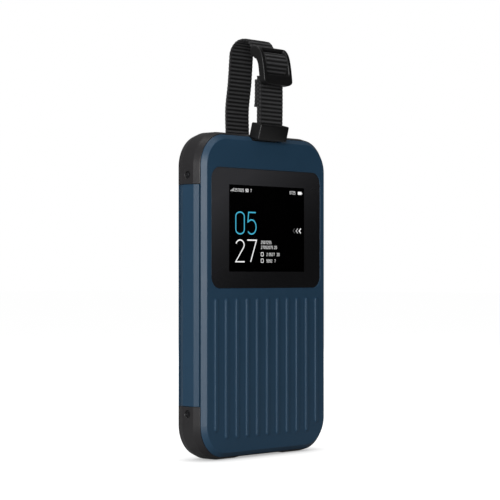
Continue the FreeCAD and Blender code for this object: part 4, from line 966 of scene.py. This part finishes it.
@dataclass
class SliderShape:
    """The slider's curved plate, in its own places: across, up its rear face, and out to the front."""

    lean: float = math.radians(6.9)
    straight: float = 7.0 * MM
    bend: float = 6.8 * MM
    turn: float = math.radians(68.0)
    thick: float = 3.2 * MM
    window: tuple[float, float] = (3.3 * MM, 13.6 * MM)
    window_half: float = 7.2 * MM
    pillow: float = 0.15 * MM
    chin: float = 1.1 * MM
    brow: float = 1.3 * MM
    forehead: float = 1.4 * MM
    forehead_at: float = 14.2 * MM
    forehead_reach: tuple[float, float] = (6.0 * MM, 2.8 * MM)
    corner: float = 1.7 * MM
    bar: tuple[float, float] = (6.6 * MM, 9.4 * MM)
    bar_thick: float = 1.4 * MM

    def __post_init__(self) -> None:
        """Take the slider's place from its node."""
        low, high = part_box("strap_slider")
        self.half = (high.x - low.x) / 2
        self.foot = (low.y + self.thick * math.cos(self.lean), low.z)
        self.height = self.straight + self.turn * (self.bend + self.thick / 2)

    def place(self, up: float, out: float) -> Point:
        """A point (y, z) from the distance up the plate and out from its rear face."""
        if up < self.straight:
            y, z = -out, up
        else:
            angle = (up - self.straight) / (self.bend + self.thick / 2)
            y = self.bend - (self.bend + out) * math.cos(angle)
            z = self.straight + (self.bend + out) * math.sin(angle)
        turned = (y * math.cos(self.lean) + z * math.sin(self.lean),
                  z * math.cos(self.lean) - y * math.sin(self.lean))
        return self.foot[0] + turned[0], self.foot[1] + turned[1]

    def crown(self, across: float, up: float) -> float:
        """How far the front stands out: a little less at the sides and ends, more near the top."""
        side = (across / self.half) ** 4
        end = abs(2 * up / self.height - 1) ** 4
        away = up - self.forehead_at
        share = away / self.forehead_reach[away > 0]
        full = max(0.0, 1.0 - share * share) ** 2
        return self.thick - self.pillow * max(side, end) + self.forehead * full

    def rounded(self, across: float, up: float) -> float:
        """A place up the plate, drawn in near the plate's four corners."""
        pull = self.corner * abs(across / self.half) ** 8
        foot = max(0.0, 1.0 - (up + self.chin) / self.window[0])
        head = max(0.0, 1.0 - (self.height + self.brow - up) / self.window[0])
        return up + pull * (foot - head)

    def build(self, material: bpy.types.Material) -> bpy.types.Object:
        """Model the frame with its window, and the bar across it.

        Args:
            material: the slider's finish.

        Returns:
            The piece.
        """
        low, high = self.window
        ups = [-self.chin, -0.5 * MM, 2.0 * MM, low, 4.8 * MM, 6.5 * MM, 8.3 * MM, 10.2 * MM, 12.0 * MM,
               high, 14.8 * MM, 17.0 * MM, self.height + self.brow]
        inside = self.window_half
        acrosses = [-self.half, -8.7 * MM, -8.0 * MM, -inside, -6.2 * MM, -3.1 * MM, 0.0,
                    3.1 * MM, 6.2 * MM, inside, 8.0 * MM, 8.7 * MM, self.half]
        work = bmesh.new()
        layers = (0.0, 0.22, 0.78, 1.0)
        grid = {}
        for i, across in enumerate(acrosses):
            for j, up in enumerate(ups):
                for k, share in enumerate(layers):
                    y, z = self.place(self.rounded(across, up), self.crown(across, up) * share)
                    grid[i, j, k] = work.verts.new((across, y, z))
        open_across = range(acrosses.index(-inside), acrosses.index(inside))
        open_up = range(ups.index(low), ups.index(high))
        solid = {(i, j) for i in range(len(acrosses) - 1) for j in range(len(ups) - 1)
                 if not (i in open_across and j in open_up)}
        top = len(layers) - 1
        for i, j in solid:
            corners = [(i, j), (i + 1, j), (i + 1, j + 1), (i, j + 1)]
            work.faces.new([grid[a, b, top] for a, b in corners])
            work.faces.new([grid[a, b, 0] for a, b in reversed(corners)])
            for (di, dj), (first, last) in (((0, -1), (0, 1)), ((1, 0), (1, 2)), ((0, 1), (2, 3)),
                                            ((-1, 0), (3, 0))):
                if (i + di, j + dj) in solid:
                    continue
                for k in range(top):
                    a, b = corners[first], corners[last]
                    work.faces.new([grid[(*a, k)], grid[(*b, k)], grid[(*b, k + 1)], grid[(*a, k + 1)]])
        for vertex in [v for v in work.verts if not v.link_faces]:
            work.verts.remove(vertex)
        self.add_bar(work)
        piece = from_bmesh("slider_shell", work, material)
        modifier = piece.modifiers.new("smooth", "SUBSURF")
        modifier.levels = modifier.render_levels = 3
        return apply_modifiers(piece)

    def add_bar(self, work: bmesh.types.BMesh) -> None:
        """The middle bar, an oval rod whose ends run into the side walls."""
        low, high = self.bar
        rise, out = (low + high) / 2, 0.1 * MM + self.bar_thick / 2
        rings = []
        for across in (-self.window_half - 0.6 * MM, -4 * MM, 0.0, 4 * MM, self.window_half + 0.6 * MM):
            ring = []
            for up, depth in oval((rise, out), (high - low) / 2, self.bar_thick / 2, 0, 330, 11):
                y, z = self.place(up, depth)
                ring.append(work.verts.new((across, y, z)))
            rings.append(ring)
        for first, second in zip(rings, rings[1:]):
            for k in range(len(first)):
                after = (k + 1) % len(first)
                work.faces.new([first[k], first[after], second[after], second[k]])
        work.faces.new(rings[0][::-1])
        work.faces.new(rings[-1])


@dataclass
class Strap:
    """The hand strap: webbing from the tunnel over the top to the slider, and down to the keeper."""

    web: bpy.types.Material
    keeper_finish: bpy.types.Material
    slider_finish: bpy.types.Material
    bow: float = 0.15 * MM
    bow_rise: float = 11.2 * MM
    waist: float = 0.9 * MM
    waist_drop: float = 11.0 * MM
    sway_low: float = 4.5 * MM
    sway_high: float = 20.0 * MM
    keeper_lean: float = math.radians(15.0)
    keeper_below: float = 3.0 * MM
    keeper_above: float = 2.6 * MM

    def __post_init__(self) -> None:
        """Take the strap's places from its nodes."""
        leg_low, leg_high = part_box("strap_front_leg")
        self.thick = leg_high.y - leg_low.y
        self.weaver = Weaver(leg_high.x - leg_low.x, self.thick, self.web)
        self.front_y = (leg_low.y + leg_high.y) / 2
        self.leg = (leg_low.z, leg_high.z)
        tunnel_low, tunnel_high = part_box("strap_tunnel_run")
        self.tunnel = (tunnel_low.y, tunnel_high.y, (tunnel_low.z + tunnel_high.z) / 2)
        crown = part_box("strap_crown")[1]
        self.radius = crown.y - self.thick / 2
        self.crown = crown.z - self.thick / 2 - self.radius
        self.case_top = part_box("top_bumper")[1].z
        self.slider = SliderShape()

    def sway(self, piece: bpy.types.Object) -> None:
        """Bake a piece's placement into its mesh."""
        self.case_top + self.sway_low
        self.case_top + self.sway_high
        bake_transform(piece)

    def finish(self, piece: bpy.types.Object, *nodes: str, slot: str = "webbing") -> None:
        """Hide the nodes that a piece stands for, and log what it stands for."""
        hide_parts(*nodes)
        LOG.info("%s stands for %s", piece.name, ", ".join(nodes))

    def rear(self) -> float:
        """The rear leg from the tunnel to the top of the crown; returns its length."""
        _, rear, level = self.tunnel
        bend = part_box("strap_rear_bend")[1].y - self.thick / 2 - rear
        edge = rear + bend
        line = [(rear - 1.5 * MM, level), *arc((rear, level + bend), bend, -90, 0, 8)]
        leg = flowing([line[-1], (edge + self.bow, level + bend + self.bow_rise),
                       (self.radius + self.waist, self.crown - self.waist_drop),
                       (self.radius, self.crown), *arc((0.0, self.crown), self.radius, 15, 90, 5)])
        line += leg[1:]
        piece = self.weaver.lay("webbing_rear", line)
        self.sway(piece)
        self.finish(piece, "strap_rear_bend", "strap_rear_leg")
        return length_of(line)

    def over(self, phase: float) -> float:
        """From the top of the crown down behind the slider; returns the length so far."""
        start = self.slider.place(13.9 * MM, -0.9 * MM)
        line = flowing([*arc((0.0, self.crown), self.radius, 90, 118, 2),
                        (-5.0 * MM, self.crown + 4.1 * MM), (-5.9 * MM, self.crown + 0.9 * MM), start])
        piece = self.weaver.lay("webbing_over", line, phase)
        self.crown + self.radius
        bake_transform(piece)
        self.finish(piece, "strap_crown")
        return phase + length_of(line)

    def wrap(self, phase: float) -> None:
        """The run over the slider's middle bar."""
        place = self.slider.place
        shape = ((13.9, -0.9), (14.0, 0.5), (13.2, 2.1), (11.6, 2.9), (9.6, 2.85), (7.8, 2.4), (6.4, 1.7),
                 (5.3, 1.1), (4.5, 0.5), (3.9, 0.0), (3.3, -0.1))
        line = flowing([place(up * MM, out * MM) for up, out in shape])
        piece = self.weaver.lay("webbing_wrap", line, phase)
        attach(piece, "slider")
        self.finish(piece, "strap_wrap")

    def front(self) -> None:
        """The front leg's two layers, the loose tail behind them and the run under the keeper."""
        low, high = self.leg
        keeper_low, keeper_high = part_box("strap_keeper")
        middle = ((keeper_low.y + keeper_high.y) / 2, (keeper_low.z + keeper_high.z) / 2)
        behind = self.front_y + self.thick
        outer = flowing([(middle[0] - 0.5 * self.thick, middle[1]), (self.front_y + 0.1 * MM, low - 1 * MM),
                         (self.front_y, low + 2 * MM), (self.front_y - 0.1 * MM, (low + high) / 2),
                         (self.front_y, high)])
        piece = self.weaver.lay("webbing_front", outer)
        self.sway(piece)
        self.finish(piece, "strap_front_leg")
        inner = flowing([(middle[0] + 0.5 * self.thick, middle[1]), (behind + 0.1 * MM, low - 1 * MM),
                         (behind + 0.05 * MM, low + 2 * MM), (behind, (low + high) / 2), (behind, high)])
        piece = self.weaver.lay("webbing_return", inner, 0.5 * WEB_RIB)
        self.sway(piece)
        self.finish(piece, "strap_return_leg")
        tail_low, tail_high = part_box("strap_tail")
        loose = (tail_low.y + tail_high.y) / 2
        piece = self.weaver.lay("webbing_tail", flowing([(loose + 0.45 * MM, tail_low.z),
                                                         (loose + 0.1 * MM, tail_low.z + 3 * MM),
                                                         (loose, tail_high.z)]))
        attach(piece, "strap")
        self.finish(piece, "strap_tail")
        front, rear, level = self.tunnel
        forward, upward = math.sin(self.keeper_lean), math.cos(self.keeper_lean)
        foot = (middle[0] + self.keeper_below * forward, middle[1] - self.keeper_below * upward)
        run = [(rear - 1.5 * MM, level), (0.0, level), (front, level)]
        run += flowing([(front - 0.6 * MM, level), (foot[0] + 0.4 * MM, foot[1] - 0.1 * MM),
                        (foot[0] - 0.4 * MM, foot[1] + 0.8 * MM), middle,
                        (middle[0] - self.keeper_above * forward, middle[1] + self.keeper_above * upward)])
        piece = self.weaver.lay("webbing_anchor", run)
        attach(piece, "case")
        self.finish(piece, "strap_tunnel_run", "strap_keeper_run")

    def keeper(self) -> None:
        """The moulded keeper, with the softer edges of a real moulding."""
        piece = softened("strap_keeper", "keeper_block", self.keeper_finish, 0.55 * MM, 3)
        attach(piece, "case")
        self.finish(piece, "strap_keeper", slot="keeper_plastic")

    def build(self) -> None:
        """Build the whole strap."""
        so_far = self.rear()
        so_far = self.over(so_far)
        self.wrap(so_far)
        self.front()
        self.keeper()
        shell = self.slider.build(self.slider_finish)
        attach(shell, "slider")
        self.finish(shell, "strap_slider", slot="slider_plastic")


def softened(node: str, name: str, material: bpy.types.Material, radius: float,
             segments: int) -> bpy.types.Object:
    """A copy of a node with rounded edges.

    Args:
        node: the node that is copied.
        name: the new piece's name.
        material: its finish.
        radius: how much each sharp edge is rounded.
        segments: how many faces the rounding has.

    Returns:
        The piece.
    """
    work = bmesh.new()
    work.from_mesh(frame["nodes"][node].data)
    bmesh.ops.remove_doubles(work, verts=work.verts[:], dist=0.002 * MM)
    bmesh.ops.dissolve_limit(work, angle_limit=math.radians(0.5), verts=work.verts[:],
                             edges=work.edges[:])
    piece = from_bmesh(name, work, material)
    bevel = piece.modifiers.new("soft_edges", "BEVEL")
    bevel.width = radius
    bevel.segments = segments
    bevel.limit_method = "ANGLE"
    bevel.angle_limit = math.radians(25)
    bevel.harden_normals = True
    return apply_modifiers(piece)


# ---------------------------------------------------------------- screws

@dataclass
class ScrewSet:
    """Socket screws made by one tree: a head with a hexagon socket on a plain shank."""

    node: str
    name: str
    heads: list[tuple[Vector, Vector]]
    head_radius: float
    head: float
    shank_radius: float
    length: float
    material: bpy.types.Material

    def make_graph(self) -> Graph:
        """The tree: one screw, set on each point and turned to its facing."""
        graph = Graph("socket_screws")
        radius, height = graph.asked("Head Radius"), graph.asked("Head Height")
        shank, length = graph.asked("Shank Radius"), graph.asked("Shank Length")
        head = graph.node("GeometryNodeMeshCylinder", None,
                          {"Vertices": 40, "Radius": radius, "Depth": height}, "Mesh")
        socket = graph.node("GeometryNodeMeshCylinder", None,
                            {"Vertices": 6, "Radius": radius * 0.56, "Depth": height}, "Mesh")
        raised = graph.node("ShaderNodeCombineXYZ", None, {2: height * 0.45})
        socket = graph.node("GeometryNodeTransform", None, {"Geometry": socket, "Translation": raised})
        head = graph.node("GeometryNodeMeshBoolean", {"operation": "DIFFERENCE", "solver": "EXACT"},
                          {0: head, 1: socket})
        head = graph.node("GeometryNodeTransform", None, {
            "Geometry": head, "Translation": graph.node("ShaderNodeCombineXYZ", None, {2: -height / 2.0})})
        rod = graph.node("GeometryNodeMeshCylinder", None,
                         {"Vertices": 24, "Radius": shank, "Depth": length}, "Mesh")
        rod = graph.node("GeometryNodeTransform", None, {
            "Geometry": rod,
            "Translation": graph.node("ShaderNodeCombineXYZ", None, {2: -height - length * 0.499})})
        screw = joined(graph, head, rod)
        facing = graph.node("GeometryNodeInputNamedAttribute", {"data_type": "FLOAT_VECTOR"},
                            {"Name": "facing"})
        turn = graph.node("FunctionNodeAlignRotationToVector", {"axis": "Z"}, {"Vector": facing})
        screws = graph.node("GeometryNodeInstanceOnPoints", None,
                            {"Points": graph.source, "Instance": screw, "Rotation": turn})
        graph.close(screws)
        return graph

    def build(self) -> bpy.types.Object:
        """Make the set and let it stand for its node."""
        mesh = bpy.data.meshes.new(self.name + "_points")
        mesh.from_pydata([place for place, _ in self.heads], [], [])
        facing = mesh.attributes.new("facing", "FLOAT_VECTOR", "POINT")
        for item, (_, toward) in zip(facing.data, self.heads):
            item.vector = toward
        source = new_object(self.name + "_points", mesh)
        piece = self.make_graph().bake(self.name, source, {
            "Head Radius": self.head_radius, "Head Height": self.head,
            "Shank Radius": self.shank_radius, "Shank Length": self.length, "Finish": self.material})
        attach(piece, "case")
        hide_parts(self.node)
        LOG.info("%s: %d screws", self.name, len(self.heads))
        return piece


def joined(graph: Graph, *parts: Socket) -> Socket:
    """Join geometries in a tree."""
    join = graph.tree.nodes.new("GeometryNodeJoinGeometry")
    for part in parts:
        graph.tree.links.new(part.link, join.inputs[0])
    return Socket(graph, join.outputs[0])


@dataclass
class Fasteners:
    """The bumpers' side screws and the rear shell's four screws."""

    material: bpy.types.Material
    cap_rises: tuple[float, float] = (19.9 * MM, 18.5 * MM)
    rear_margin_side: float = 8.7 * MM
    rear_margin_end: float = 8.5 * MM

    def build(self) -> None:
        """Make both sets."""
        low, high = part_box("cap_screws")
        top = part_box("top_bumper")[1].z
        heads = []
        for rise in (self.cap_rises[0], top - self.cap_rises[1]):
            heads += [(Vector((low.x, 0.0, rise)), Vector((-1, 0, 0))),
                      (Vector((high.x, 0.0, rise)), Vector((1, 0, 0)))]
        ScrewSet("cap_screws", "bumper_screws", heads, 1.5 * MM, 1.0 * MM, 0.8 * MM, 4.4 * MM,
                 self.material).build()
        low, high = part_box("case_screws")
        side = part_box("top_bumper")[1].x - self.rear_margin_side
        heads = [(Vector((x, high.y, z)), Vector((0, 1, 0))) for x in (-side, side)
                 for z in (self.rear_margin_end, top - self.rear_margin_end)]
        ScrewSet("case_screws", "rear_screws", heads, 1.8 * MM, 1.0 * MM, 0.9 * MM, 7.0 * MM,
                 self.material).build()


# ---------------------------------------------------------------- studio

@dataclass
class Lamp:
    """A square soft light."""

    name: str
    place: Vector
    size: float
    power: float
    shines: bool = True

    def build(self, target: Vector) -> None:
        """Hang the light and turn it to a target."""
        data = bpy.data.lights.new(self.name, "AREA")
        data.size = self.size
        data.energy = self.power
        lamp = bpy.data.objects.new(self.name, data)
        lamp.visible_glossy = self.shines
        lamp.location = self.place
        lamp.rotation_euler = (target - self.place).to_track_quat("-Z", "Y").to_euler()
        bpy.context.scene.collection.objects.link(lamp)


@dataclass
class Studio:
    """A white floor and background, soft lights and the camera."""

    level: float = 0.16
    floor_glow: float = 0.95
    # share of the floor's glow kept in the deepest painted shadow
    under: float = 0.42
    lens: float = 131.84
    camera_place: Vector = field(default_factory=lambda: Vector((-0.5938, -0.5267, 0.07795)))
    camera_toward: Vector = field(default_factory=lambda: Vector((0.7469, 0.6649, 0.0)))
    rise: float = 0.0493
    target: Vector = field(default_factory=lambda: Vector((0.0, 0.0, 0.08)))
    card_toward: Vector = field(default_factory=lambda: Vector((0.80, -0.60, 0.0)))
    card_away: float = 0.62
    card_rise: float = 0.42
    card_size: float = 0.5

    def floor(self) -> None:
        """A white floor that keeps the object's shadow: a real shadow on its matt part, and a painted
        shadow where its glow is dimmed near the object.
        """
        work = bmesh.new()
        bmesh.ops.create_grid(work, x_segments=1, y_segments=1, size=6.0)
        paint = Paint("studio_floor")
        rays = paint.node("ShaderNodeLightPath").link.node
        seen = Socket(paint, rays.outputs["Is Camera Ray"])
        seen = seen.most(Socket(paint, rays.outputs["Is Transmission Ray"]))
        # ambient occlusion dims the floor's glow near the object: a painted contact shadow
        painted_shadow_openness = paint.node("ShaderNodeAmbientOcclusion", {"samples": 12}, {"Distance": 12 * MM}, "AO")
        matt = paint.node("ShaderNodeBsdfDiffuse", None, {"Color": (0.26, 0.26, 0.26, 1.0)})
        lit = (painted_shadow_openness * (1.0 - self.under) + self.under) * self.floor_glow
        glow = paint.node("ShaderNodeEmission", None, {"Strength": seen * lit})
        both = paint.node("ShaderNodeAddShader", None, {0: matt, 1: glow})
        floor = from_bmesh("studio_floor", work, paint.finish(both))

    def world(self) -> None:
        """Even light, and white where the camera sees past the object, also through glass."""
        world = bpy.data.worlds.new("studio")
        bpy.context.scene.world = world
        world.use_nodes = True
        book = Nodes(world.node_tree)
        book.tree.nodes.clear()
        rays = book.node("ShaderNodeLightPath").link.node
        seen = Socket(book, rays.outputs["Is Camera Ray"])
        seen = seen.most(Socket(book, rays.outputs["Is Transmission Ray"]))
        strength = seen * (1.0 - self.level) + self.level
        back = book.node("ShaderNodeBackground", None,
                         {"Color": (1.0, 1.0, 1.0, 1.0), "Strength": strength})
        end = book.tree.nodes.new("ShaderNodeOutputWorld")
        book.tree.links.new(back.link, end.inputs["Surface"])

    def flag(self) -> None:
        """A dark card at the right, out of sight, that the front face reflects."""
        work = bmesh.new()
        bmesh.ops.create_grid(work, x_segments=1, y_segments=1, size=self.card_size)
        turn = self.card_toward.to_track_quat("Z", "Y").to_matrix()
        centre = self.card_toward * self.card_away + Vector((0.0, 0.0, self.card_rise))
        for vertex in work.verts:
            vertex.co = turn @ vertex.co + centre
        paint = Paint("studio_card")
        card = from_bmesh("studio_card", work, paint.finish(
            paint.node("ShaderNodeBsdfDiffuse", None, {"Color": (0.02, 0.02, 0.02, 1.0)})))
        card.visible_camera = False
        card.visible_shadow = False

    def camera(self) -> None:
        """The camera, level and well to the left of the front."""
        data = bpy.data.cameras.new("camera")
        data.lens = self.lens
        data.sensor_width = 36.0
        data.shift_y = self.rise
        data.clip_start = 0.01
        camera = bpy.data.objects.new("camera", data)
        camera.location = self.camera_place
        camera.rotation_euler = self.camera_toward.to_track_quat("-Z", "Y").to_euler()
        bpy.context.scene.collection.objects.link(camera)
        bpy.context.scene.camera = camera

    def build(self) -> None:
        """Set the whole studio up."""
        self.floor()
        self.world()
        self.flag()
        self.camera()
        lamps = [Lamp("beside_camera", Vector((-0.84, -0.72, 0.28)), 0.6, 9.0),
                 Lamp("left", Vector((-1.08, -0.24, 0.24)), 0.36, 3.2),
                 Lamp("top", Vector((-0.1, -0.1, 1.0)), 0.5, 2.6),
                 Lamp("rear", Vector((0.15, 1.05, 0.35)), 0.7, 7.0, False),
                 Lamp("rear_right", Vector((0.9, 0.45, 0.4)), 0.6, 6.0, False)]
        for lamp in lamps:
            lamp.build(self.target)
        bpy.context.scene.view_settings.view_transform = "Standard"


# ---------------------------------------------------------------- the whole object

def dress(materials: dict[str, bpy.types.Material]) -> None:
    """Give every node of the frame the finish of its slot.

    Args:
        materials: one material for each slot.
    """
    for part in frame["record"]["subparts"]:
        node = frame["nodes"][part["node"]]
        node.data.materials.clear()
        node.data.materials.append(materials[part["material_slot"]])
        LOG.info("%s: %s", part["node"], part["material_slot"])


def main() -> None:
    """Build every piece in order."""
    logging.basicConfig(level=logging.INFO, format="%(name)s: %(message)s")
    materials = finishes()
    dress(materials)
    Screen().build(Lit("screen_marks").paint())
    Strap(materials["webbing"], materials["keeper_plastic"], materials["slider_plastic"]).build()
    Fasteners(materials["dark_screw"]).build()
    Studio().build()


if __name__ == "__main__":
    main()
